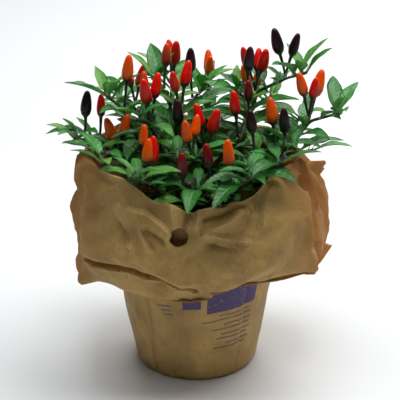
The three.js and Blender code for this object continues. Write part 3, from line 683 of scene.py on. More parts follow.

# %% [markdown]
# ## The finished sheet
# The base form is pushed in and out along its own normal by the crumples and folds. Small notches in
# the rim and two corners at the hem are added one by one. The round holes could be cut with a Boolean
# modifier, but leaving out the faces inside each circle and drawing the edge points onto it is lighter
# and keeps the sheet one clean surface. The front hole goes through the outer layer only; the one at
# the side goes through both.

# %% Paper sleeve
PAPER_THICKNESS = 0.55
WALL_FOOT = 2  # the share at the foot of the wall: rows before it lie under the pot
WALL_FOLDS_END = 3.5
DRAWN_FROM = 7.6  # points are drawn onto the folds from this share to the hem
RIM_SPREAD = 1.3  # how far a notch in the rim spreads along the sheet, in shares
HEM_SPREAD = 0.8
# how much the sheet is crumpled at each share: not under the pot, a little on its wall, freely on the cuff
CRUMPLED_AT = [1.9, 2.1, 2.95, 4, 5, 6.3, 7, 7.5, 8, 11.5, 12, 13]
CRUMPLED = [0, 0.16, 0.16, 0.4, 0.9, 0.6, 0.45, 0.6, 1, 1, 0.8, 0.5]
# (bearing, width, lift)
RIM_NOTCHES = [
    (-107, 7, 3.6), (-93, 5, -1.6), (-120, 5, 1.8), (-80, 5, 1.2), (-66, 5, 2), (60, 9, -3), (110, 12, 3)]
HEM_CORNERS = [(-153, 5, 7.0, -4.0), (-27, 4, 4.0, -3.0)]  # bearing, width, outwards, downwards
# bearing, height, radius, and the shares between which the holed layer lies
HOLES = [(-99, 139, 7.2, (FOLD, HEM)), (-29, 165, 7.2, (FOLD, HEM)), (-29, 165, 7.2, (5, FOLD))]


def bumps(bearing, width):
    """A bump at each bearing of the sheet's points, from a place and a width in degrees."""
    return np.array([bump(angle, bearing * RAD, width * RAD) for angle in bearings])


flat = radius_and_height[..., 0]
sheet = np.stack([flat * np.cos(around), flat * np.sin(around), heights], axis=-1)
down_sheet = np.gradient(sheet, axis=0)
round_sheet = (np.roll(sheet, -1, axis=1) - np.roll(sheet, 1, axis=1)) / 2
normals = unit_rows(np.cross(down_sheet, round_sheet))

on_cuff = (shares > FOLD)[:, None]
on_wall = ((shares >= WALL_FOOT) & (shares < WALL_FOLDS_END))[:, None]
crumpled = np.interp(shares, CRUMPLED_AT, CRUMPLED)[:, None]
push = creased * crumpled + on_cuff * (cuff_relief + tuck) + on_wall * wall_relief
push[shares < WALL_FOOT] = 0
sheet = sheet + normals * push[..., None]
drawn = ((shares > DRAWN_FROM) & (shares < HEM))[:, None, None]
round_way, down_way = unit_rows(round_sheet), unit_rows(down_sheet)
sheet = sheet + drawn * pull[..., :1] * round_way
sheet = sheet + drawn * pull[..., 1:] * down_way / np.minimum(down_way[..., 2:], -0.5)
near_rim = np.exp(-(((shares - FOLD) / RIM_SPREAD) ** 2))[:, None]
near_hem = np.exp(-(((shares - HEM) / HEM_SPREAD) ** 2))[:, None]
for bearing, width, lift in RIM_NOTCHES:
    sheet[..., 2] += near_rim * lift * bumps(bearing, width)
for bearing, width, out, down in HEM_CORNERS:
    share = near_hem * bumps(bearing, width)
    sheet[..., 0] += share * out * np.cos(around)
    sheet[..., 1] += share * out * np.sin(around)
    sheet[..., 2] += share * down
sheet[..., 2] = np.maximum(sheet[..., 2], PAPER_THICKNESS / 2)

points = sheet.reshape(-1, 3)
faces = grid_faces(len(shares), BEARINGS, closed=True)
holed = np.zeros(len(faces), dtype=bool)
for bearing, z, radius, (layer_start, layer_end) in HOLES:
    column = int(round((bearing * RAD + math.pi) / (2 * math.pi) * BEARINGS)) % BEARINGS
    layer = (shares > layer_start) & (shares < layer_end)
    row = np.argmin(np.where(layer, np.abs(heights[:, column] - z), np.inf))
    middle = sheet[row, column]
    away = np.linalg.norm(points - middle, axis=1)
    inside = (away < radius) & np.repeat(layer, BEARINGS)
    cut = np.array([sum(inside[i] for i in face) >= 2 for face in faces])
    edge = np.zeros(len(points), dtype=bool)
    edge[np.unique(np.array(faces)[cut].ravel())] = True
    edge &= away > 0.5
    points[edge] = middle + (points[edge] - middle) / away[edge, None] * radius
    holed |= cut
print("faces cut for the holes:", int(holed.sum()))

# %% [markdown]
# ## Kraft paper
# Kraft paper is matt and brown, with darker fibres, faint ribs from the mill and worn, paler creases.
# Thin as it is, it glows orange where light falls on its far side, so part of its surface is a
# see-through shader. How large that part is comes from a number on the mesh. The stretch round the pot
# also carries a plain printed band and a few plain ruled bars, which stand for a bag's small print.

# %% Kraft paper material
PAPER_LIGHT = shade(204, 167, 101)
PAPER_DARK = shade(166, 133, 76)
PAPER_FIBRE = shade(118, 86, 44)
PAPER_WORN = shade(210, 174, 116)
PAPER_GLOW = shade(248, 196, 108)
INK = shade(58, 50, 112)
INK_GREY = shade(92, 80, 92)
# the print is placed in shares of a turn from the left end and in decimetres up the wall
PRINT_SLANT = 0.22  # how much lower the print lies for each turn round
PRINT_EDGE = 0.0004
BAND = [(0.272, 0.386, 0.592, 0.86), (0.222, 0.260, 0.645, 0.86)]  # left, right, bottom, top
BAR_HEIGHT = 0.016
# (left, right, bottom) of each plain bar
RULED_BARS = [
    (0.300, 0.372, 0.545), (0.262, 0.378, 0.505), (0.312, 0.380, 0.455), (0.284, 0.376, 0.415),
    (0.306, 0.382, 0.365), (0.296, 0.374, 0.325), (0.318, 0.380, 0.275), (0.290, 0.372, 0.235),
    (0.168, 0.198, 0.665), (0.176, 0.200, 0.625), (0.182, 0.202, 0.585)]


def kraft_paper(name, printed):
    paper = Recipe(name)
    clouds = paper.noise(22, detail=4)
    colour = paper.ramp(clouds, [(0.3, PAPER_DARK), (0.7, PAPER_LIGHT)])
    fibres = paper.noise(1.1, detail=4, stretch=(1, 1, 0.22), rough=0.7)
    colour = paper.paint(paper.between(fibres, 0.56, 0.74), colour, PAPER_FIBRE)
    specks = paper.noise(0.7, detail=2)
    colour = paper.paint(paper.times(paper.between(specks, 0.66, 0.76), 0.5), colour, PAPER_FIBRE)
    colour = paper.paint(paper.times(paper.mark("worn"), 0.55), colour, PAPER_WORN)
    if printed:
        across, up = paper.map_of("sheet")
        up = paper.maths("SUBTRACT", up, paper.times(across, PRINT_SLANT))

        def strip(value, low, high):
            return paper.times(
                paper.between(value, low, low + PRINT_EDGE), paper.between(value, high, high - PRINT_EDGE))

        def block(left, right, low, high):
            return paper.times(strip(across, left, right), strip(up, low, high))

        band = paper.maths("MAXIMUM", *[block(*sides) for sides in BAND])
        patchy = paper.between(paper.noise(2.2, detail=3), 0.22, 0.42)
        colour = paper.paint(paper.times(band, paper.times(patchy, 0.9)), colour, INK)
        for left, right, low in RULED_BARS:
            bar = paper.times(block(left, right, low, low + BAR_HEIGHT), 0.78)
            colour = paper.paint(paper.times(bar, patchy), colour, INK_GREY)
    ribs = paper.noise(0.9, detail=2, stretch=(1, 1, 0.05))
    grain = paper.plus(paper.times(ribs, 0.5), paper.times(fibres, 0.5))
    valley = paper.maths("ABSOLUTE", paper.maths("SUBTRACT", paper.noise(16, detail=2), 0.5))
    crossing = paper.maths("ABSOLUTE", paper.maths("SUBTRACT", paper.noise(7, detail=1), 0.5))
    wrinkles = paper.plus(paper.times(valley, 3.0), crossing)
    paper.relief(paper.plus(paper.times(grain, 0.12), wrinkles), 0.9, 0.6)
    paper.set(Base_Color=colour)
    paper.roughen(clouds, (0.3, 0.62), (0.7, 0.74))
    paper.set(Specular_IOR_Level=0.35, Sheen_Weight=0.08, Sheen_Roughness=0.5)
    return paper.glow_through(paper.mark("thin"), PAPER_GLOW)


plain_paper = kraft_paper("kraft_paper", printed=False)
printed_paper = kraft_paper("kraft_paper_printed", printed=True)
print("nodes of the printed paper:", len(printed_paper.node_tree.nodes))

# %% [markdown]
# ## The sleeve in one piece
# Two numbers on the mesh steer the finish. One marks worn creases, found where the sheet bends most
# sharply. The other says how much light comes through: most at the sides, where light falls straight
# through one layer, less at the back and hardly any at the front or where the black pot backs the
# paper. Edges sharper than a set angle are shaded as creases. Thickness comes last, from the Solidify
# modifier, which also closes the edges.

# %% Paper sleeve piece
POT_BACKS_TO = 5.4  # the share up to which the pot stands behind the paper
POT_BACKED = 0.04  # how see-through the paper is there
THIN_BEARINGS = [42, 68, 112, 150]  # degrees from the front
THIN = [0.08, 0.5, 0.5, 0.22]
WORN_FROM = 0.35  # the bend, in millimetres, at which a crease starts to look worn
WORN_OVER = 1.1
CREASE_ANGLE = 24 * RAD

bend_down = np.abs(np.gradient(np.gradient(push, axis=0), axis=0))
bend_round = np.abs(np.roll(push, 1, 1) + np.roll(push, -1, 1) - 2 * push)
worn = np.clip((bend_down + bend_round - WORN_FROM) / WORN_OVER, 0, 1)
worn[np.abs(shares - FOLD) < 0.25] = 0.7
worn[shares < WALL_FOOT] = 0
from_front = np.abs(np.angle(np.exp(1j * (around + 95 * RAD)))) / RAD
thin = np.interp(from_front, THIN_BEARINGS, THIN)
pot_behind = (shares >= WALL_FOOT) & (shares < POT_BACKS_TO)
thin[pot_behind] = POT_BACKED

kept = [face for face, gone in zip(faces, holed) if not gone]
used = np.unique(np.array(kept).ravel())
renumbered = np.full(len(points), -1)
renumbered[used] = np.arange(len(used))
kept = [tuple(int(renumbered[i]) for i in face) for face in kept]
kinds = [int(pot_behind[used[face[0]] // BEARINGS]) for face in kept]  # plain paper is 0, printed is 1
kept.append(tuple(int(renumbered[i]) for i in range(BEARINGS - 1, -1, -1)))
kinds.append(0)
sheet_map = np.stack([(around + math.pi) / (2 * math.pi), sheet[..., 2] / 100], axis=-1).reshape(-1, 2)
sleeve = make_piece(
    "kraft_sleeve", points[used], kept, [plain_paper, printed_paper], kinds,
    {"sheet": sheet_map[used]}, {"worn": worn.ravel()[used], "thin": thin.ravel()[used]})
sleeve.data.set_sharp_from_angle(angle=CREASE_ANGLE)
solidify = sleeve.modifiers.new("thickness", "SOLIDIFY")
solidify.thickness = PAPER_THICKNESS * MM
solidify.offset = 0
settle(sleeve, "kraft_paper", "paper_sleeve")
print("sleeve faces:", len(kept))

# %% [markdown]
# ## Nursery pot
# The pot inside the paper is thin black plastic with a rolled lip. Like the real one, it is the same
# all the way round, so one profile turned round the upright axis makes it. Only its lip can be seen,
# between the leaves, but it is turned whole, so that nothing is missing when the paper is opened.

# %% Nursery pot
GAP = 0.3  # kept between neighbouring solids
POT_FLOOR_R = 46.5
POT_TOP_R = 62
POT_LIP_R = 65
POT_LIP_H = 9
POT_WALL = 1.3
POT_SIDES = 96
RIB_STEP = 0.25  # the depth of the faint steps in its wall
ROLL_R = 0.65  # half the thickness of its rolled lip


def turned(profile, sides):
    """A closed body turned round the upright axis. Its profile starts and ends on the axis."""
    turn = 2 * np.pi * np.arange(sides) / sides
    points = [(0, 0, profile[0][1])]
    for r, z in profile[1:-1]:
        points.extend(zip(r * np.cos(turn), r * np.sin(turn), np.full(sides, float(z))))
    points.append((0, 0, profile[-1][1]))
    return np.array(points, dtype=float), capped_faces(len(profile) - 2, sides)


def pot_plastic():
    plastic = Recipe("pot_plastic")
    scuffs = plastic.noise(3, detail=5, stretch=(1, 1, 4), rough=0.7)
    colour = plastic.ramp(scuffs, [(0.35, shade(26, 25, 24)), (0.75, shade(52, 50, 47))])
    plastic.set(Base_Color=colour)
    plastic.roughen(scuffs, (0.3, 0.42), (0.8, 0.7))
    plastic.relief(plastic.noise(0.8, detail=2), 0.15, 0.4)
    return plastic.material


pot_floor = SHEET + GAP
lip_foot = POT_TOP - POT_LIP_H
roll = [(math.cos(a * RAD), math.sin(a * RAD)) for a in range(-30, 181, 30)]
lip_middle = POT_LIP_R - POT_WALL / 2
profile = [(0, pot_floor), (POT_FLOOR_R - 3, pot_floor)]
profile += [(POT_FLOOR_R - 0.8, pot_floor + 0.6), (POT_FLOOR_R, pot_floor + 2)]
profile += [(mix(POT_FLOOR_R, POT_TOP_R, t) - RIB_STEP * (k % 2), mix(pot_floor + 2, lip_foot, t))
            for k, t in enumerate(np.linspace(0.08, 0.97, 14))]
profile += [(POT_TOP_R, lip_foot), (POT_LIP_R - 0.6, lip_foot), (POT_LIP_R, lip_foot + 0.6)]
profile += [(lip_middle + ROLL_R * x, POT_TOP - ROLL_R + ROLL_R * y) for x, y in roll]
profile += [(POT_LIP_R - POT_WALL, lip_foot + POT_WALL), (POT_TOP_R - POT_WALL, lip_foot + POT_WALL)]
profile += [(POT_FLOOR_R - POT_WALL, pot_floor + 2.4), (0, pot_floor + 2.4)]
pot = make_piece("pot_with_rolled_lip", *turned(profile, POT_SIDES), [pot_plastic()])
settle(pot, "pot_plastic", "nursery_pot")
print("pot faces:", len(pot.data.polygons))

# %% [markdown]
# ## Potting soil
# Potting soil is dark peat in crumbs, with white grains of perlite and bits of bark. The top of the
# turned body is raised and sunk by overlapping waves and a fine unevenness. A particle system could
# strew the grains, but small faceted stones strewn by seeded chance end up in the mesh itself.

# %% Potting soil
SOIL_TOP = 103
SOIL_SIDES = 120
SOIL_MOUND = 2.8  # how much higher the soil stands in the middle than at its edge
WAVES = 26
WAVE_HEIGHT = 0.16
CRUMB_HEIGHT = 0.35
GRAINS = 260


def compost():
    peat = Recipe("compost")
    crumbs = peat.noise(2.2, detail=6, rough=0.7)
    browns = [(0.3, shade(28, 20, 14)), (0.6, shade(58, 42, 30)), (0.8, shade(92, 70, 50))]
    peat.set(Base_Color=peat.ramp(crumbs, browns))
    peat.roughen(crumbs, (0.3, 0.98), (0.8, 0.85))
    peat.relief(crumbs, 1.2, 0.9)
    return peat.material


def stony(name, low, high):
    stone = Recipe(name)
    pits = stone.noise(0.8, detail=4)
    stone.set(Base_Color=stone.ramp(pits, [(0.35, low), (0.65, high)]))
    stone.roughen(pits, (0, 0.9), (1, 0.75))
    stone.relief(pits, 0.3, 0.6)
    return stone.material


draw = np.random.RandomState(12)
soil_wall = mix(POT_FLOOR_R, POT_TOP_R, (SOIL_TOP - 4) / (POT_TOP - POT_LIP_H - 3)) - POT_WALL - GAP
rings = [(0, 4.2), (43, 4.2), (soil_wall - 0.6, SOIL_TOP - 4)]
rings += [(r, SOIL_TOP + 1.2 - SOIL_MOUND * (r / soil_wall) ** 2)
          for r in np.linspace(soil_wall - 1.5, 2, 34)]
rings += [(0, SOIL_TOP + 1.2)]
soil_points, soil_faces = turned(rings, SOIL_SIDES)
top = soil_points[:, 2] > SOIL_TOP - 3
wave = np.zeros(len(soil_points))
for k in range(WAVES):
    way = draw.normal(size=2)
    way *= draw.uniform(0.15, 1.1) / np.linalg.norm(way)
    wave += np.sin(soil_points[:, :2] @ way + draw.uniform(0, 6.28)) * WAVE_HEIGHT
soil_points[top, 2] += wave[top] + draw.uniform(-CRUMB_HEIGHT, CRUMB_HEIGHT, int(top.sum()))
PERLITE, BARK = 1, 2  # the numbers of their materials
soil = Bundle("crumbs")
soil.add(soil_points, soil_faces)
lump_line = [(0, 0, -1), (0, 0, -0.5), (0, 0, 0.5), (0, 0, 1)]
lump, lump_faces = threaded(lump_line, [0.45, 0.95, 0.9, 0.4], 6)[:2]
for k in range(GRAINS):  # out of every three: one large and one small grain of perlite, one of bark
    r, a = (soil_wall - 3) * math.sqrt(draw.rand()), draw.uniform(0, 6.28)
    size = draw.uniform(0.6, 1.5) if k % 3 else draw.uniform(1.0, 2.4)
    grain = lump * (size * draw.uniform(0.7, 1.3), size, size * draw.uniform(0.5, 0.9))
    grain = grain * draw.uniform(0.85, 1.15, (len(lump), 1))
    spin = draw.uniform(0, 6.28)
    grain = grain @ np.array([
        [math.cos(spin), math.sin(spin), 0], [-math.sin(spin), math.cos(spin), 0], [0, 0, 1]])
    on_soil = (r * math.cos(a), r * math.sin(a), SOIL_TOP + 1.0 - 2.6 * (r / soil_wall) ** 2)
    soil.add(grain + on_soil, lump_faces, BARK if k % 3 == 2 else PERLITE)
perlite = stony("perlite", shade(196, 190, 180), shade(232, 230, 224))
bark_chips = stony("bark_chips", shade(62, 40, 26), shade(104, 72, 48))
settle(soil.make("crumbly_soil", [compost(), perlite, bark_chips]), "compost", "potting_soil")
print("soil faces:", len(soil.faces))

# %% [markdown]
# ## The plant's plan
# A chilli bush forks again and again. The plan says where the woody forks are, along which bends each
# leafy stem runs, and which fruits sit in its crooks. It is the same plan as the rough solids', so
# every leaf and fruit lands where its solid is.

# %% Plan of the plant
FORKS = {
    "front": (-3, -24, 138),
    "left": (-27, 1, 146),
    "right": (28, -3, 147),
    "back_left": (-14, 20, 149),
    "back": (7, 26, 149),
    "middle": (6, -9, 151),
}


def bunch(at, colour, count, stalk=18, bearing=0):
    """A bunch at one of a stem's bends: its fruits' colour and count, their stalks' length and turn."""
    return dict(at=at, colour=colour, count=count, stalk=stalk, bearing=bearing)


STEMS = [
    ("left_low", "left", [(-56, 3, 163), (-76, 6, 184), (-86, 0, 190), (-94, -3, 188)],
     [bunch(1, "red", 1), bunch(2, "purple", 1, 15)]),
    ("left_front", "left", [(-46, -10, 160), (-61, -13, 176), (-76, -26, 186)],
     [bunch(1, "orange", 2, 16)]),
    ("left_high", "left", [(-42, 4, 178), (-56, -4, 213), (-70, 4, 222)], [bunch(1, "orange", 1, 22)]),
    ("upper_left", "middle", [(-22, -10, 172), (-36, -15, 206), (-44, -27, 212)],
     [bunch(1, "red", 2, 19, 60), bunch(1, "brown", 1, 21)]),
    ("top_left", "back_left", [(-16, 6, 182), (-14, -4, 212), (-25, 12, 222), (-34, 20, 229)],
     [bunch(1, "red", 2, 19, 90), bunch(2, "brown", 1, 20)]),
    ("back_top_left", "back_left", [(-22, 32, 184), (-19, 46, 214), (-26, 58, 220)],
     [bunch(1, "red", 2, 20)]),
    ("top_middle", "back", [(2, 14, 178), (-2, 26, 210), (6, 34, 216)], [bunch(1, "purple", 1, 24)]),
    ("back_middle", "back", [(8, 40, 176), (10, 54, 204), (8, 68, 208)], [bunch(1, "orange", 2, 18)]),
    ("back_left", "back_left", [(-34, 40, 170), (-50, 52, 194), (-62, 60, 198)], [bunch(1, "red", 2, 18)]),
    ("back_right", "back", [(32, 42, 170), (46, 55, 194), (62, 60, 200)], [bunch(1, "orange", 2, 18)]),
    ("front_left", "front", [(-20, -38, 152), (-34, -46, 168), (-37, -56, 174), (-46, -68, 184)],
     [bunch(1, "red", 1, 16), bunch(2, "orange", 1, 14)]),
    ("front_side", "left", [(-36, -26, 158), (-42, -38, 176), (-57, -44, 184), (-70, -54, 190)],
     [bunch(1, "orange", 1, 18)]),
    ("front_middle", "front", [(-6, -42, 146), (-8, -53, 160), (2, -60, 172)],
     [bunch(1, "dark_red", 1, 17)]),
    ("front_right", "front", [(4, -42, 150), (12, -50, 166), (27, -55, 168), (42, -62, 182)],
     [bunch(1, "dark_red", 1, 17), bunch(2, "orange", 1, 18)]),
    ("front_corner", "front", [(22, -40, 152), (50, -44, 178), (64, -50, 188)], []),
    ("centre", "middle", [(4, -20, 164), (7, -21, 182), (-4, -36, 184), (-14, -48, 190)],
     [bunch(1, "red", 2, 20, 80), bunch(2, "orange", 2, 16)]),
    ("centre_left", "front", [(-12, -20, 162), (-15, -10, 184), (-26, -20, 196)],
     [bunch(1, "purple", 1, 20)]),
    ("centre_right", "middle", [(28, -18, 166), (45, -28, 184), (60, -20, 188), (72, -32, 192)],
     [bunch(1, "purple", 1, 18), bunch(2, "orange", 1, 18)]),
    ("upper_right", "middle", [(20, -4, 176), (34, -14, 192), (40, 0, 206), (37, 12, 216), (30, 14, 222)],
     [bunch(1, "red", 1, 20), bunch(2, "dark_red", 1, 12), bunch(3, "purple", 1, 22)]),
    ("top_right", "right", [(38, 18, 186), (48, 26, 216), (70, 28, 226), (86, 30, 230)],
     [bunch(1, "red", 3, 20), bunch(2, "purple", 2, 20)]),
    ("right", "right", [(60, -4, 168), (87, -7, 204), (98, -9, 208), (110, -11, 212)],
     [bunch(1, "orange", 2, 21, 90), bunch(1, "red", 1, 19)]),
    ("right_back", "right", [(50, 14, 164), (72, 20, 188), (86, 28, 196)], []),
    ("right_low", "right", [(48, -20, 157), (69, -21, 183), (88, -27, 188)], [bunch(1, "purple", 1, 17)]),
]
print("leafy stems:", len(STEMS), "- bunches:", sum(len(stem[3]) for stem in STEMS))

# %% [markdown]
# ## Room between pieces
# Leaves don't grow through each other. Each stem, fruit and leaf is sampled as small balls, which are
# kept by the cell of space they lie in. A new leaf or fruit is tried at several bearings until its
# balls meet nobody else's and stay clear of the paper.

# %% Room kept free
TRUNK_R = 5
TRUNK_FORK = 124
LIMB_R = 3
STUB_R = 2.3
TWIG_R = 1.9
TWIG_TIP_R = 1.0
STUB = 10  # the length of a limb's stub for each leafy stem
CELL = 9
ROOM = 0.5
PAPER_ROOM = 3.2
ABOVE_PAPER = 185
INSIDE_PAPER_R = 55
OVERHANG = 3  # how far a leaf may hang below the rim outside it
BALL_STEP = 1.5
WOOD = 0
held = {}


def hold(balls, owner):
    """Keeps the balls' room for their owner."""
    for x, y, z, r, root in balls:
        key = (math.floor(x / CELL), math.floor(y / CELL), math.floor(z / CELL))
        held.setdefault(key, []).append((x, y, z, r, owner))


def is_free(balls, parent):
    """Whether no ball meets another's. Balls at a shape's root may touch their parent's."""
    for x, y, z, r, root in balls:
        cx, cy, cz = math.floor(x / CELL), math.floor(y / CELL), math.floor(z / CELL)
        for i in (cx - 1, cx, cx + 1):
            for j in (cy - 1, cy, cy + 1):
                for k in (cz - 1, cz, cz + 1):
                    for hx, hy, hz, hr, owner in held.get((i, j, k), ()):
                        if root and owner == parent:
                            continue
                        reach = r + hr + ROOM
                        if (x - hx) ** 2 + (y - hy) ** 2 + (z - hz) ** 2 < reach * reach:
                            return False
    return True


def meets_paper(ball):
    """Whether a ball is in the soil, too close to the sheet, or outside it below the rim."""
    x, y, z = ball[:3]
    r = math.sqrt(x * x + y * y)
    if z < SOIL_TOP + 3:
        return True
    if r < INSIDE_PAPER_R or z > ABOVE_PAPER:
        return False
    line = sheet_line(math.atan2(y, x))
    if r > line[FOLD][0] and z < line[FOLD][1] - OVERHANG:
        return True
    if z > line[FOLD][1] + PAPER_ROOM:
        return False

    def radius_at(first, last):
        for i in range(first, last):
            low, high = sorted((line[i], line[i + 1]), key=lambda point: point[1])
            if low[1] <= z <= high[1]:
                return mix(low[0], high[0], (z - low[1]) / (high[1] - low[1]))
        return line[FOLD][0]

    return radius_at(3, FOLD) - PAPER_ROOM < r < radius_at(FOLD, HEM) + PAPER_ROOM


def tube_balls(path, radius, root_length=0):
    """Balls along a path, each (x, y, z, radius, whether it lies within the root length)."""
    balls = []
    walked = 0
    for a, b in zip(path, path[1:]):
        run = sub(b, a)
        far = length(run)
        steps = math.ceil(far / BALL_STEP)
        for k in range(steps + 1):
            balls.append((*add(a, run, k / steps), radius, walked + (far * k) / steps < root_length))
        walked += far
    return balls


print("a leaf may touch the soil:", not meets_paper((50, 0, SOIL_TOP)))

# %% [markdown]
# ## Stems and fruits find their places
# The woody limbs come first, then the leafy stems, then the fruits. Chillies of this kind stand
# upright: each bunch sits in the crook of a bend, and its stalks spread a little from the upright.

# %% Wood, stems and fruits
GOLDEN = 137.5
FRUIT_LENGTH = 18
FRUIT_R = 4.1
FRUIT_PROFILE = [(0, 0.6), (0.22, 1), (0.62, 0.84), (0.91, 0.48)]
PEDICEL_R = 1.05
CALYX_R = 2.9
CALYX_H = 2.6
KNUCKLE_R = 1.7
SPREAD = [6, 15, 18]  # how far stalks lean off the upright in a bunch of one, two or three
SPREAD_MORE = 3
TURNS = 12
FRUIT_TRIES = 60

ways = [unit(sub(path[0], FORKS[fork])) for name, fork, path, fruits in STEMS]
trunk_top = (0, 0, TRUNK_FORK + 4)
limbs = []
stubs = []
hold(tube_balls([(0, 0, SOIL_TOP), trunk_top], TRUNK_R), WOOD)
for level, (fork_name, fork) in enumerate(FORKS.items()):
    leaving = (0, 0, TRUNK_FORK - 12 + 2.6 * level)
    knee = add(leaving, sub(fork, leaving), 0.5)
    knee = (knee[0], knee[1], knee[2] - 2)
    for (name, stem_fork, path, fruits), way in zip(STEMS, ways):
        if stem_fork == fork_name:
            stubs.append((fork, add(fork, way, STUB)))
            hold(tube_balls(stubs[-1], STUB_R), WOOD)
    limbs.append((leaving, knee, fork))
    hold(tube_balls(limbs[-1], LIMB_R), WOOD)

stems = []
for i, ((name, fork, path, fruits), way) in enumerate(zip(STEMS, ways)):
    line = [add(FORKS[fork], way, STUB + GAP), *path]
    stems.append(dict(name=name, owner=1 + i, line=line, fruits=fruits))
    hold(tube_balls(line, TWIG_R, 5), 1 + i)


def lean(off, bearing):
    """The way a stalk points, from its lean off the upright and its bearing, both in degrees."""
    return (
        math.sin(off * RAD) * math.cos(bearing * RAD),
        math.sin(off * RAD) * math.sin(bearing * RAD),
        math.cos(off * RAD),
    )


def fruit_balls(fruit):
    """Balls along a fruit's stalk and its flesh."""
    base = add(fruit["foot"], fruit["way"], fruit["stalk"])
    balls = tube_balls([fruit["foot"], base], PEDICEL_R, 6)
    share = 0
    while share <= 1:
        wide = [w for at, w in FRUIT_PROFILE if at <= share + 0.05][-1]
        middle = add(base, fruit["way"], share * FRUIT_LENGTH * fruit["size"])
        balls.append((*middle, wide * FRUIT_R * fruit["size"], False))
        share += 0.1
    return balls


def spread_fruits(stem, plan, order, number):
    """The fruits of one bunch, set where they have room."""
    at = stem["line"][plan["at"] + 1]
    before = unit(sub(at, stem["line"][plan["at"]]))
    after = unit(sub(stem["line"][plan["at"] + 2], at))
    along = unit(add(before, after))
    over = unit(add((0, 0, 1), along, -along[2]))
    shared = sum(other["at"] == plan["at"] for other in stem["fruits"]) > 1
    facing = unit(add(over, cross(along, over), (0.9 if order % 2 else -0.9) if shared else 0))
    surface = mix(TWIG_R, TWIG_TIP_R, (plan["at"] + 1) / (len(stem["line"]) - 1)) + GAP
    outward = math.atan2(facing[1], facing[0]) / RAD
    for attempt in range(FRUIT_TRIES):
        tried = []
        turn = attempt % TURNS * 360 / TURNS
        for k in range(plan["count"]):
            off = SPREAD[plan["count"] - 1] + SPREAD_MORE * (attempt // TURNS)
            way = lean(off, outward + plan["bearing"] + (360 * k) / plan["count"] + turn)
            upright = way[0] * facing[0] + way[1] * facing[1] + way[2] * facing[2]
            single = 0.05 + PEDICEL_R * math.sqrt(1 - upright * upright)
            cap = KNUCKLE_R / math.sqrt(3) if plan["count"] > 1 else single
            size = 0.9 + 0.05 * ((number * 3 + k * 2) % 5)
            foot = add(at, facing, surface + cap)
            tried.append(dict(foot=foot, way=way, size=size, stalk=plan["stalk"] - 2 * k))
        balls = [ball for fruit in tried for ball in fruit_balls(fruit)]
        if is_free(balls, stem["owner"]) and not any(meets_paper(ball) for ball in balls):
            hold(balls, 101 + number)
            return dict(colour=plan["colour"], fruits=tried, facing=facing)
    raise RuntimeError("no room for a bunch on " + stem["name"])


bunches = []
for stem in stems:
    for order, plan in enumerate(stem["fruits"]):
        bunches.append(spread_fruits(stem, plan, order, len(bunches)))
print("fruits:", sum(len(b["fruits"]) for b in bunches))

# %% [markdown]
# ## Leaves find their places
# A leaf grows every few millimetres round each stem, turned by the golden angle from the one before, as
# most plants do it, and a whorl of smaller ones closes the tip. A leaf is a stalk and a pointed blade
# that bends down along its rib, folds a little along it and rolls to one side.

# %% Leaves
LEAF_STALK = 0.17
STALK_HALF = 0.75
LEAF_LENGTH = 42
TIP_LEAF_LENGTH = 29
LEAF_WIDTH = 0.33
LEAF_STEP = 8.6
TIP_LEAVES = 4
TRIES = 12
LEAF_ROOT = 0.34  # the share of a leaf that may touch its own stem
LEAF_BALL_R = 1
LEAF_BALL_STEP = 2.5
SWING = 24  # degrees between the bearings that a leaf tries
SHORTEN = 0.025  # the share it loses at each try
LIFT_AFTER = 5
LIFT = 16
RISE = (18, 48)  # how steeply low and high leaves leave the stem
DROOP = (62, 34)  # and how far they bend down
LOW_LEAVES = 160
HIGH_LEAVES = 230
seed = 20717


def chance():
    """Park and Miller's generator, so that the plant grows the same each time."""
    global seed
    seed = (seed * 16807) % 2147483647
    return seed / 2147483647


def blade_width(u):
    """A blade's width at a share of its length, against its widest."""
    return 3.72 * u**0.72 * (1 - u) ** 1.02 * (1 - 0.32 * u)


def leaf_points(leaf, t, v):
    """Points of a leaf's upper face: t from its foot to its tip, v from -1 to 1 across it."""
    bend = leaf["droop"] * RAD
    start = leaf["rise"] * RAD
    now = start - bend * t
    ahead = (leaf["long"] / bend) * (np.sin(start) - np.sin(now))
    up = (leaf["long"] / bend) * (np.cos(now) - np.cos(start))
    c, s = math.cos(leaf["bearing"] * RAD), math.sin(leaf["bearing"] * RAD)
    blade = np.clip((t - LEAF_STALK) / (1 - LEAF_STALK), 0, 1)
    half = np.maximum(STALK_HALF * (1 - blade), (leaf["wide"] / 2) * blade_width(blade))
    half = np.where(t <= LEAF_STALK, STALK_HALF, half)
    turn = leaf["roll"] * RAD * np.minimum(1, t * 3)
    across = v * half * math.cos(leaf["fold"] * RAD)
    lift = np.abs(v) * half * math.sin(leaf["fold"] * RAD)
    flat = across * np.cos(turn) - lift * np.sin(turn)
    off = across * np.sin(turn) + lift * np.cos(turn)
    return np.stack([
        leaf["foot"][0] + ahead * c - flat * s - off * np.sin(now) * c,
        leaf["foot"][1] + ahead * s + flat * c - off * np.sin(now) * s,
        leaf["foot"][2] + up + off * np.cos(now)], axis=-1)


def leaf_balls(leaf):
    """Balls over a leaf: three across its stalk, nine across its blade."""
    step = LEAF_BALL_STEP / leaf["long"]
    ts, vs = [], []
    t = 0
    while t < 1 + step / 2:
        across = 1 if t < LEAF_STALK else 4
        for v in range(-across, across + 1):
            ts.append(t)
            vs.append(v / across)
        t += step
    points = leaf_points(leaf, np.array(ts), np.array(vs)).tolist()
    return [(*point, LEAF_BALL_R, t < LEAF_ROOT) for point, t in zip(points, ts)]


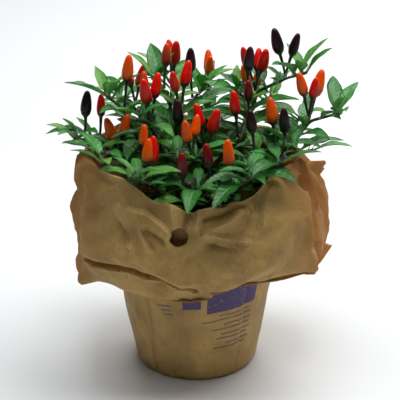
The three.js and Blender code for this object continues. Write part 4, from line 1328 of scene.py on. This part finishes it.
def find_place(stem, base, bearing, slim=LEAF_WIDTH):
    """The base leaf turned, and a little shortened, until it is clear of the rest. None if it never is."""
    for attempt in range(TRIES):
        swing = math.ceil(attempt / 2) * SWING * (1 if attempt % 2 else -1)
        leaf = dict(base, bearing=bearing + swing, long=base["long"] * (1 - SHORTEN * attempt))
        leaf["wide"] = leaf["long"] * slim
        if attempt > LIFT_AFTER:
            leaf["rise"] += LIFT
        balls = leaf_balls(leaf)
        if is_free(balls, stem["owner"]) and not any(meets_paper(ball) for ball in balls):
            hold(balls, stem["owner"])
            return leaf
    return None


def leaf_at(stem, foot, bearing, high, long):
    """A full-grown leaf. The higher its foot stands, the more it rises and the less it droops."""
    share = min(1, max(0, (foot[2] - LOW_LEAVES) / (HIGH_LEAVES - LOW_LEAVES)))
    base = dict(
        foot=foot,
        rise=mix(*RISE, share) + high + 14 * (chance() - 0.5),
        droop=mix(*DROOP, share) + 16 * (chance() - 0.5),
        long=long * (0.9 + 0.22 * chance()),
        roll=34 * (chance() - 0.5),
        fold=12 + 10 * chance(),
    )
    return find_place(stem, base, bearing)


def leaf_feet(stem, first, step):
    """Where leaves stand along a stem: each foot, and whether it is clear of the stem's bends."""
    walked = 0
    next_foot = first
    for i, (a, b) in enumerate(zip(stem["line"], stem["line"][1:])):
        run = sub(b, a)
        far = length(run)
        while next_foot < walked + far:
            foot = add(a, run, (next_foot - walked) / far)
            near_end = min(next_foot - walked, walked + far - next_foot)
            yield foot, near_end > 3 or i == 0
            next_foot += step
        walked += far


for stem in stems:
    grown = []
    turn = stem["owner"] * 61
    for foot, clear in leaf_feet(stem, 6, LEAF_STEP):
        if clear:
            grown.append(leaf_at(stem, foot, turn, 0, LEAF_LENGTH))
        turn += GOLDEN
    tip = stem["line"][-1]
    back = unit(sub(stem["line"][-2], tip))
    for k in range(TIP_LEAVES):
        foot = add(tip, back, 0.8 + 2 * k)
        grown.append(leaf_at(stem, foot, turn + GOLDEN * k, 12, TIP_LEAF_LENGTH + 2 * k))
    stem["leaves"] = [leaf for leaf in grown if leaf]
print("leaves:", sum(len(stem["leaves"]) for stem in stems))

# %% [markdown]
# ## Leaf finish
# A chilli leaf is deep green and waxy above, paler and duller below, with a light midrib and side veins
# that arch towards the edge. Young leaves are yellower. The veins are drawn by nodes, not painted, so
# that they stay sharp on every leaf. They follow each leaf's own map, whose first number runs from its
# foot to its tip and whose second runs across it; the same pattern raises the blade between the veins.
# Light from behind makes a leaf glow yellow-green.

# %% Leaf material
LEAF_DEEP = shade(28, 84, 40)
LEAF_GREEN = shade(72, 166, 74)
LEAF_YOUNG = shade(152, 214, 80)
LEAF_VEIN = shade(144, 200, 118)
LEAF_BELOW = shade(98, 160, 96)
LEAF_GLOW = shade(126, 200, 44)
LEAF_THIN = 0.34  # how see-through a leaf is
SIDE_VEINS = 7
VEIN_SWEEP = 1.15  # how far the side veins run on towards the tip by the time they reach the edge


def leaf_finish():
    leaf = Recipe("chilli_leaf")
    along, across = leaf.map_of("leaf")
    from_rib = leaf.maths("ABSOLUTE", leaf.maths("SUBTRACT", leaf.times(across, 2.0), 1.0))
    sweep = leaf.maths("SUBTRACT", leaf.times(along, SIDE_VEINS), leaf.times(from_rib, VEIN_SWEEP))
    wobble = leaf.times(leaf.noise(4, detail=1), 0.35)
    beat = leaf.maths("PINGPONG", leaf.plus(sweep, wobble), 0.5)
    side_veins = leaf.times(leaf.between(beat, 0.07, 0.015), leaf.between(from_rib, 1.0, 0.55))
    rib = leaf.between(from_rib, 0.11, 0.04)
    colour = leaf.ramp(leaf.mark("tone"), [(0, LEAF_DEEP), (0.5, LEAF_GREEN), (1, LEAF_YOUNG)])
    mottle = leaf.noise(5, detail=4, rough=0.6)
    colour = leaf.paint(leaf.times(leaf.between(mottle, 0.4, 0.75), 0.35), colour, LEAF_DEEP)
    colour = leaf.paint(leaf.times(side_veins, 0.35), colour, LEAF_VEIN)
    colour = leaf.paint(leaf.times(rib, 0.6), colour, LEAF_VEIN)
    colour = leaf.paint(leaf.times(leaf.mark("below"), 0.75), colour, LEAF_BELOW)
    gloss = leaf.plus(leaf.times(mottle, 0.22), leaf.times(leaf.mark("below"), 0.25))
    leaf.set(Base_Color=colour, Roughness=leaf.plus(gloss, 0.24))
    leaf.set(Specular_IOR_Level=0.6, Coat_Weight=0.22, Coat_Roughness=0.25)
    quilt = leaf.maths("SUBTRACT", leaf.between(beat, 0.0, 0.35), leaf.times(rib, 1.0))
    leaf.relief(leaf.plus(quilt, leaf.times(leaf.noise(0.9, detail=2), 0.25)), 0.35, 0.7)
    return leaf.glow_through(LEAF_THIN, LEAF_GLOW)


chilli_leaf = leaf_finish()
print("nodes of the leaf:", len(chilli_leaf.node_tree.nodes))

# %% [markdown]
# ## Stalk and bark finishes
# The young stems of this kind are green with a purple-black flush, and there is more of it on the fruit
# stalks. Noise places it here, since it comes and goes in soft patches. Older wood is grey-green and
# furrowed along its length.

# %% Stalk and bark materials
STALK_GREEN = shade(74, 92, 44)
STALK_PURPLE = shade(34, 22, 30)


def stalk_finish(name, purple):
    stalk = Recipe(name)
    flush = stalk.noise(9, detail=3)
    colour = stalk.ramp(flush, [(purple - 0.12, STALK_PURPLE), (purple + 0.12, STALK_GREEN)])
    streaks = stalk.noise(0.7, detail=3, stretch=(1, 1, 0.15))
    colour = stalk.paint(stalk.times(stalk.between(streaks, 0.5, 0.8), 0.3), colour, STALK_GREEN)
    stalk.set(Base_Color=colour)
    stalk.roughen(streaks, (0.3, 0.38), (0.7, 0.56))
    stalk.relief(streaks, 0.3, 0.5)
    return stalk.material


def bark_finish():
    bark = Recipe("chilli_bark")
    furrows = bark.noise(1.6, detail=5, stretch=(1, 1, 0.18), rough=0.65)
    greys = [(0.3, shade(48, 40, 28)), (0.55, shade(92, 88, 58)), (0.75, shade(126, 116, 84))]
    colour = bark.ramp(furrows, greys)
    colour = bark.paint(bark.between(bark.noise(11), 0.58, 0.7), colour, STALK_PURPLE)
    bark.set(Base_Color=colour)
    bark.roughen(furrows, (0.3, 0.9), (0.8, 0.68))
    bark.relief(furrows, 0.8, 0.8)
    return bark.material


twig_skin = stalk_finish("green_twig", 0.50)
fruit_stalk = stalk_finish("fruit_stalk", 0.58)
trunk_bark = bark_finish()
print("stalk and bark materials:", twig_skin.name, fruit_stalk.name, trunk_bark.name)

# %% [markdown]
# ## Woody stem
# The trunk and its limbs are ribbed and furrowed, and they thin out from fork to fork. Threaded rings
# with a few lobes give both, because a young woody stem isn't round. Each leafy stem gets a short stub
# to stand on.

# %% Woody stem piece
TRUNK_FOOT = 72
wood = Bundle("wood")
trunk_line = rounded_path([(0, 0, TRUNK_FOOT), (0, 0, SOIL_TOP + 2), trunk_top])
trunk_heights = [TRUNK_FOOT, SOIL_TOP - 2, SOIL_TOP + 5, TRUNK_FORK + 4]
trunk_radii = np.interp(trunk_line[:, 2], trunk_heights, [5, 5.4, 4.9, 2.8])
add_rings(wood, MAIN, trunk_line, trunk_radii, 20, lobes=5, lobe_depth=0.05)
for leaving, knee, fork in limbs:
    line = rounded_path([leaving, knee, fork])
    add_rings(wood, MAIN, line, np.linspace(LIMB_R, 2.4, len(line)), 14, lobes=4, lobe_depth=0.05)
for fork, end in stubs:
    line = rounded_path([fork, end])
    add_rings(wood, MAIN, line, np.linspace(STUB_R, TWIG_R, len(line)), 12)
settle(wood.make("forked_trunk", [trunk_bark]), "bark", "woody_stem")
print("wood faces:", len(wood.faces))

# %% [markdown]
# ## Leafy stems
# A leaf's mesh is a grid over its upper face and another a leaf's thickness below it, joined at the
# edge, so that it is a closed body. A Solidify modifier could thicken a single grid, but a real leaf is
# thick along its rib and thin at its edge, and a second grid can say so point by point. The edge waves
# a little and the blade is raised between the side veins in the mesh itself. The stem swells where each
# leaf leaves it.

# %% Leafy stem pieces
LEAF_ROWS = 18
LEAF_COLUMNS = 7
RIB_DEPTH = 0.75
EDGE_DEPTH = 0.2
STALK_DEPTH = 1.15
YOUNG_LENGTH = 37  # shorter leaves are young
detail = np.random.RandomState(8)


def add_leaf(bundle, leaf, tone, rows=LEAF_ROWS, columns=LEAF_COLUMNS):
    """Adds one leaf: its upper face, its lower face, and the quads that join them round the edge."""
    on_blade = mix(LEAF_STALK, 1, np.linspace(0, 1, rows - 3) ** 0.9)
    t = np.concatenate([np.linspace(0, LEAF_STALK, 4)[:-1], on_blade])
    v = np.linspace(-1, 1, columns)
    grid_t, grid_v = np.meshgrid(t, v, indexing="ij")
    top = leaf_points(leaf, np.minimum(grid_t, 0.996), grid_v)
    side = np.gradient(top, axis=1)
    ahead = np.gradient(top, axis=0)
    normal = unit_rows(np.cross(ahead, side))
    blade = np.clip((grid_t - LEAF_STALK) / (1 - LEAF_STALK), 0, 1)
    broad = np.minimum(1, blade * 5) * np.minimum(1, (1 - blade) * 4)
    phase, beats = detail.uniform(0, 6.28), detail.uniform(1.6, 2.6)
    ripples = np.sin(2 * np.pi * beats * blade + phase + 0.9 * np.sign(grid_v))
    wave = 0.035 * leaf["wide"] * ripples * grid_v**2
    off_rib = np.abs(grid_v)
    veins = np.cos(2 * np.pi * (SIDE_VEINS * blade - VEIN_SWEEP * off_rib))
    quilt = 0.16 * veins * (1 - off_rib) * off_rib * 4
    groove = -0.25 * np.exp(-((grid_v / 0.2) ** 2))
    top = top + normal * (broad * (wave + quilt + groove))[..., None]
    thick = mix(EDGE_DEPTH, RIB_DEPTH * (1 - 0.6 * blade), np.exp(-((grid_v / 0.22) ** 2)))
    thick = np.where(grid_t <= LEAF_STALK, STALK_DEPTH, thick)
    below = top - normal * thick[..., None]
    count = rows * columns
    faces = [(a, d, c, b) for a, b, c, d in grid_faces(rows, columns)]
    faces += [tuple(count + i for i in face) for face in grid_faces(rows, columns)]
    rim = [*range(columns)] + [i * columns + columns - 1 for i in range(1, rows)]
    rim += [(rows - 1) * columns + k for k in range(columns - 2, -1, -1)]
    rim += [i * columns for i in range(rows - 2, 0, -1)]
    for a, b in zip(rim, rim[1:] + rim[:1]):
        faces.append((b, a, count + a, count + b))
    places = np.stack([blade, grid_v / 2 + 0.5], axis=-1).reshape(-1, 2)
    points = np.concatenate([top.reshape(-1, 3), below.reshape(-1, 3)])
    places = np.concatenate([places, places])
    bundle.add(points, faces, MAIN, places, tone=tone, below=np.repeat([0.0, 1.0], count))


def add_twig(bundle, line, feet):
    """Adds a stem that tapers to its tip and swells at the foot of each leaf."""
    path = rounded_path(line, cut=3, step=2.2)
    far = np.concatenate([[0], np.cumsum(np.linalg.norm(np.diff(path, axis=0), axis=1))])
    radii = np.interp(far / far[-1], [0, 1], [TWIG_R, TWIG_TIP_R])
    for foot in feet:
        radii = radii * (1 + 0.22 * np.exp(-((np.linalg.norm(path - np.array(foot), axis=1) / 1.6) ** 2)))
    add_rings(bundle, STALK, path, radii, 10, lobes=5, lobe_depth=0.05)


def tone_of(young):
    """0 for an old dark leaf, 1 for a young yellow-green one."""
    tone = 0.12 + 0.48 * detail.rand() ** 1.2 + 0.24 * young + 0.3 * (detail.rand() > 0.95)
    return float(np.clip(tone, 0, 1))


def distance(leaf, spot):
    """From a spot to the middle of a leaf's rib."""
    return length(sub(leaf_points(leaf, np.array(0.6), np.array(0.0)).tolist(), spot))


# two leaves leaning out over the front of the rim get the palest yellow-green: partly a young leaf's
# own colour, partly a painted glow of the light shining through them
YOUNG_AND_BACKLIT_SPOTS = [(-38, -64, 160), (14, -68, 160)]
all_leaves = [leaf for stem in stems for leaf in stem["leaves"]]
young_and_backlit_leaves = [min(all_leaves, key=lambda leaf: distance(leaf, spot)) for spot in YOUNG_AND_BACKLIT_SPOTS]

for stem in stems:
    stem["bundle"] = Bundle("leaf", ("tone", "below"))
    add_twig(stem["bundle"], stem["line"], [leaf["foot"] for leaf in stem["leaves"]])
    for leaf in stem["leaves"]:
        tone = tone_of(leaf["long"] < YOUNG_LENGTH)
        # the two front leaves take the palest tone: part young colour, part painted glow of light through
        # them
        add_leaf(stem["bundle"], leaf, 1.0 if any(leaf is one for one in young_and_backlit_leaves) else tone)
print("leaf faces:", sum(len(stem["bundle"].faces) for stem in stems))

# %% [markdown]
# ## Small leaves that fill the crown
# Between its full-grown leaves a chilli carries many small ones. They are too fine for the rough
# solids, and they go wherever there is still room. Once they are in, each leafy stem is made, as one
# piece for one rough solid.

# %% Small leaves
SMALL_LEAF_STEP = 4.4
SMALL_LEAF_WIDTH = 0.34
small_leaves = 0
for stem in stems:
    turn = stem["owner"] * 61 + 70
    for foot, clear in leaf_feet(stem, 9, SMALL_LEAF_STEP):
        base = dict(
            foot=foot, rise=detail.uniform(20, 62), droop=detail.uniform(25, 60),
            long=detail.uniform(14, 29), roll=detail.uniform(-25, 25), fold=detail.uniform(12, 26))
        leaf = find_place(stem, base, turn, slim=SMALL_LEAF_WIDTH) if clear else None
        if leaf:
            small_leaves += 1
            add_leaf(stem["bundle"], leaf, tone_of(detail.rand() < 0.5), rows=11, columns=5)
        turn += GOLDEN
print("small leaves:", small_leaves)

for stem in stems:
    node = "leafy_stem_" + stem["name"]
    piece = stem["bundle"].make("fine_" + node, [chilli_leaf, twig_skin])
    settle(piece, "leaf", node)

# %% [markdown]
# ## Fruit finish
# Ripe chillies are among the glossiest of fruits: a thin waxy skin over a strong colour. Each colour
# here is a stage of ripening, so none is even: an orange fruit is redder at its shoulder, a brown one
# is half purple still, and the purple ones are nearly black. A clear coat over the skin gives the small
# bright highlights.

# %% Fruit materials
FRUIT_SKINS = {
    "red": [(0, shade(156, 2, 2)), (0.35, shade(220, 10, 2)), (1, shade(232, 22, 2))],
    "dark_red": [(0, shade(60, 8, 14)), (0.5, shade(104, 10, 18)), (1, shade(142, 12, 20))],
    "orange": [(0, shade(214, 60, 0)), (0.4, shade(252, 104, 0)), (1, shade(248, 78, 0))],
    "brown": [(0, shade(66, 22, 12)), (0.45, shade(166, 54, 8)), (1, shade(222, 78, 6))],
    "purple": [(0, shade(20, 12, 18)), (0.5, shade(30, 16, 26)), (1, shade(44, 20, 30))],
}
FRUIT_FLUSH = {
    "red": shade(226, 52, 0),
    "dark_red": shade(60, 8, 22),
    "orange": shade(226, 44, 0),
    "brown": shade(52, 16, 22),
    "purple": shade(70, 22, 26),
}


def fruit_skin(colour_name):
    skin = Recipe("chilli_skin_" + colour_name)
    along = skin.map_of("fruit")[0]
    clouds = skin.noise(9, detail=3)
    colour = skin.ramp(skin.plus(along, skin.times(clouds, 0.15)), FRUIT_SKINS[colour_name])
    flush = skin.times(skin.between(clouds, 0.52, 0.72), 0.7)
    colour = skin.paint(flush, colour, FRUIT_FLUSH[colour_name])
    pores = skin.noise(0.5, detail=2)
    skin.set(Base_Color=colour)
    skin.roughen(pores, (0.2, 0.26), (0.8, 0.38))
    skin.set(Specular_IOR_Level=0.28, Coat_Weight=0.28, Coat_Roughness=0.06, Coat_IOR=1.35)
    skin.relief(skin.plus(skin.noise(3.5, detail=2), skin.times(pores, 0.1)), 0.28, 0.5)
    return skin.material


skins = {colour: fruit_skin(colour) for colour in FRUIT_SKINS}
print("fruit skins:", list(skins))

# %% [markdown]
# ## Chilli bunches
# A chilli is a blunt cone of rings on a slightly bent axis. A stretched sphere would be quicker, but
# its two ends would be alike, and a chilli has a broad shoulder and a narrow tip. Its green cup clasps
# the shoulder with five small teeth, and its stalk thickens into the cup. Where two or three share a
# crook, a little swollen knuckle joins their stalks.

# %% Chilli bunch pieces
FRUIT_SIDES = 22
CUP_SIDES = 20
TEETH = 5
TOOTH_LENGTH = 0.55
KNUCKLE_RINGS = np.array([-0.95, -0.6, 0, 0.8, 1.4])
KNUCKLE_RADII = [0.8, 1.35, 1.65, 1.35, 0.6]
# (share of the length, share of the radius) from the shoulder to the tip
FLESH = [
    (0.0, 0.35), (0.015, 0.55), (0.05, 0.76), (0.1, 0.9), (0.16, 0.98), (0.24, 1.0), (0.34, 0.99),
    (0.45, 0.95), (0.56, 0.89), (0.66, 0.81), (0.75, 0.72), (0.83, 0.62), (0.89, 0.52), (0.935, 0.42),
    (0.97, 0.29), (0.99, 0.14)]
# the same for the cup, from the stalk to its rim and back inside it
CUP = [
    (-1.0, 0.40), (-0.8, 0.5), (-0.5, 0.68), (-0.2, 0.86), (0.05, 0.98), (0.22, 1.06), (0.3, 1.1),
    (0.24, 1.0), (0.1, 0.8)]


def add_fruit(bundle, fruit):
    """Adds one fruit with its cup and its stalk."""
    way, foot = np.array(fruit["way"]), np.array(fruit["foot"])
    size, stalk = fruit["size"], fruit["stalk"]
    side = unit_rows(np.cross(way, (0.3, 0.9, 0.1)))
    bend = detail.uniform(-0.9, 0.9)
    tall = FRUIT_LENGTH * size
    # the flesh
    shares_up, wide = np.array(FLESH).T
    line = foot + way * (stalk + shares_up * tall)[:, None] + side * (bend * shares_up**2)[:, None]
    radii = wide * FRUIT_R * size * detail.uniform(0.95, 1.03)
    add_rings(bundle, MAIN, line, radii, FRUIT_SIDES, lobes=3, lobe_depth=0.025)
    # the cup, with its teeth lying on the shoulder
    shares_up, wide = np.array(CUP).T
    line = foot + way * (stalk + shares_up * CALYX_H)[:, None]
    radii = wide * (CALYX_R + 0.25) * size
    points, faces, places = threaded(line, radii, CUP_SIDES)
    turn = np.arange(CUP_SIDES) / CUP_SIDES
    for row in (4, 5, 6, 7):
        ring = slice(1 + row * CUP_SIDES, 1 + (row + 1) * CUP_SIDES)
        points[ring] += way * (TOOTH_LENGTH * np.cos(TEETH * 2 * np.pi * turn) * (row - 3) / 3)[:, None]
    bundle.add(points, faces, STALK, places)
    # the stalk
    up = np.linspace(0, stalk - CALYX_H * 0.8, 9)
    sway = 0.5 * np.sin(np.pi * up / up[-1]) * detail.uniform(-1, 1)
    line = foot + way * up[:, None] + side * sway[:, None]
    radii = PEDICEL_R * np.interp(up / up[-1], [0, 0.12, 0.6, 1], [1.15, 0.92, 0.95, 1.3])
    add_rings(bundle, STALK, line, radii, 10, lobes=5, lobe_depth=0.07)


numbered = {}
for bunch_made in bunches:
    colour = bunch_made["colour"]
    numbered[colour] = numbered.get(colour, 0) + 1
    fruits = Bundle("fruit")
    for fruit in bunch_made["fruits"]:
        add_fruit(fruits, fruit)
    if len(bunch_made["fruits"]) > 1:
        facing = np.array(bunch_made["facing"])
        line = np.array(bunch_made["fruits"][0]["foot"]) + facing * KNUCKLE_RINGS[:, None]
        add_rings(fruits, STALK, line, KNUCKLE_RADII, 12)
    node = f"chilli_{colour}_{numbered[colour]}"
    settle(fruits.make("ripe_" + node, [skins[colour], fruit_stalk]), "chilli_" + colour, node)
print("bunches:", numbered)

# %% [markdown]
# ## Flower buds
# At the tips, where new leaves unfold, the plant holds small purple flower buds on thin nodding stalks.
# They are made like tiny fruits, from threaded rings, and a bud is left out where another piece is in
# its way.

# %% Flower buds
BUDS_A_TIP = 2
BUD_STALK = [(0, 0, 0), (1.1, 0, 2.6), (2.6, 0, 4.6), (4.2, 0, 5.4)]
BUD_STALK_RADII = [0.4, 0.34, 0.34, 0.5]
BUD_RINGS = [-0.4, 0.2, 1.1, 2.1, 2.9]
BUD_RADII = [0.4, 0.95, 1.25, 0.9, 0.25]
bud_skin = Recipe("bud_skin")
bud_clouds = bud_skin.noise(1.5, detail=3)
bud_skin.set(Base_Color=bud_skin.ramp(bud_clouds, [(0.3, shade(52, 30, 62)), (0.7, shade(112, 78, 128))]))
bud_skin.roughen(bud_clouds, (0.3, 0.4), (0.7, 0.55))
bud_skin.relief(bud_clouds, 0.15, 0.5)
buds = Bundle("bud")
for stem in stems:
    tip = np.array(stem["line"][-1])
    for k in range(BUDS_A_TIP):
        bearing = stem["owner"] * 77 + 165 * k
        foot = tip - unit_rows(tip - np.array(stem["line"][-2])) * (1 + 3 * k)
        stalk = foot + np.array(BUD_STALK) @ np.array([
            [math.cos(bearing), math.sin(bearing), 0], [0, 1, 0], [0, 0, 1]])
        if not is_free([(*point, 0.8, True) for point in stalk[1:].tolist()], stem["owner"]):
            continue
        add_rings(buds, STALK, stalk, BUD_STALK_RADII, 6)
        line = stalk[-1] + unit_rows(stalk[-1] - stalk[-2]) * np.array(BUD_RINGS)[:, None]
        add_rings(buds, MAIN, line, BUD_RADII, 10, lobes=5, lobe_depth=0.06)
settle(buds.make("flower_buds", [bud_skin.material, fruit_stalk]), "chilli_purple")
print("bud faces:", len(buds.faces))

# %% [markdown]
# ## Floor
# The plant stands on a plain pale floor that runs back out of sight. One wide square does for it, and
# very soft clouds in its colour keep it from looking flat.

# %% Floor
FLOOR_HALF = 6000
floor_paint = Recipe("floor")
floor_clouds = floor_paint.noise(600, detail=2)
floor_whites = [(0.3, shade(230, 234, 236)), (0.7, shade(236, 239, 241))]
floor_paint.set(Base_Color=floor_paint.ramp(floor_clouds, floor_whites))
floor_paint.roughen(floor_clouds, (0, 0.7), (1, 0.8))
floor_corners = [(x * FLOOR_HALF, y * FLOOR_HALF, 0) for x, y in [(-1, -1), (1, -1), (1, 1), (-1, 1)]]
floor = make_piece("floor", floor_corners, [(0, 1, 2, 3)], [floor_paint.material])
print("floor:", round(floor.dimensions.x), "m across")

# %% [markdown]
# ## Light
# Five soft lamps light the plant. The strongest is a wide one behind and to the right, like a window:
# it whitens the floor and shines through the thin sides of the paper. The others hang high: they light
# the tops of the leaves and leave the front of the cuff in gentle shade. The sky is bright to the
# camera, but adds only a faint fill.

# %% Light
SKY_FILL = 0.03
SKY_SEEN = 0.96
LIT_SPOT = Vector((0, 0, 0.1))
WHITE = (1, 1, 1)
# name, place, size, watts, colour
LAMPS = [
    ("top_softbox", (0.0, 0.05, 1.5), (0.6, 0.6), 8, WHITE),
    ("window_behind", (0.5, 1.2, 1.05), (2.4, 0.6), 22, WHITE),
    ("high_right", (0.6, 0.0, 1.35), (0.5, 0.8), 8, (1, 0.98, 0.95)),
    ("high_left", (-0.6, 0.0, 1.35), (0.5, 0.8), 3, WHITE),
    ("high_front", (0.0, -0.6, 1.35), (0.5, 0.4), 1.7, WHITE),
]


def lamp(name, place, size, power, colour):
    """A soft rectangular lamp that faces the plant."""
    light = bpy.data.lights.new(name, "AREA")
    light.shape = "RECTANGLE"
    light.size, light.size_y = size
    light.energy = power
    light.color = colour
    made = bpy.data.objects.new(name, light)
    made.location = place
    made.rotation_euler = (LIT_SPOT - Vector(place)).to_track_quat("-Z", "Y").to_euler()
    bpy.context.collection.objects.link(made)


world = bpy.data.worlds.new("studio")
world.use_nodes = True
sky = world.node_tree.nodes["Background"]
sky.inputs["Color"].default_value = (0.93, 0.97, 1, 1)
seen_directly = world.node_tree.nodes.new("ShaderNodeLightPath")
brightness = world.node_tree.nodes.new("ShaderNodeMapRange")
brightness.inputs["To Min"].default_value = SKY_FILL
brightness.inputs["To Max"].default_value = SKY_SEEN
world.node_tree.links.new(seen_directly.outputs["Is Camera Ray"], brightness.inputs["Value"])
world.node_tree.links.new(brightness.outputs[0], sky.inputs["Strength"])
bpy.context.scene.world = world
for row in LAMPS:
    lamp(*row)
bpy.context.scene.view_settings.view_transform = "Standard"
print("lamps:", len(LAMPS), "- watts in all:", round(sum(row[3] for row in LAMPS), 1))
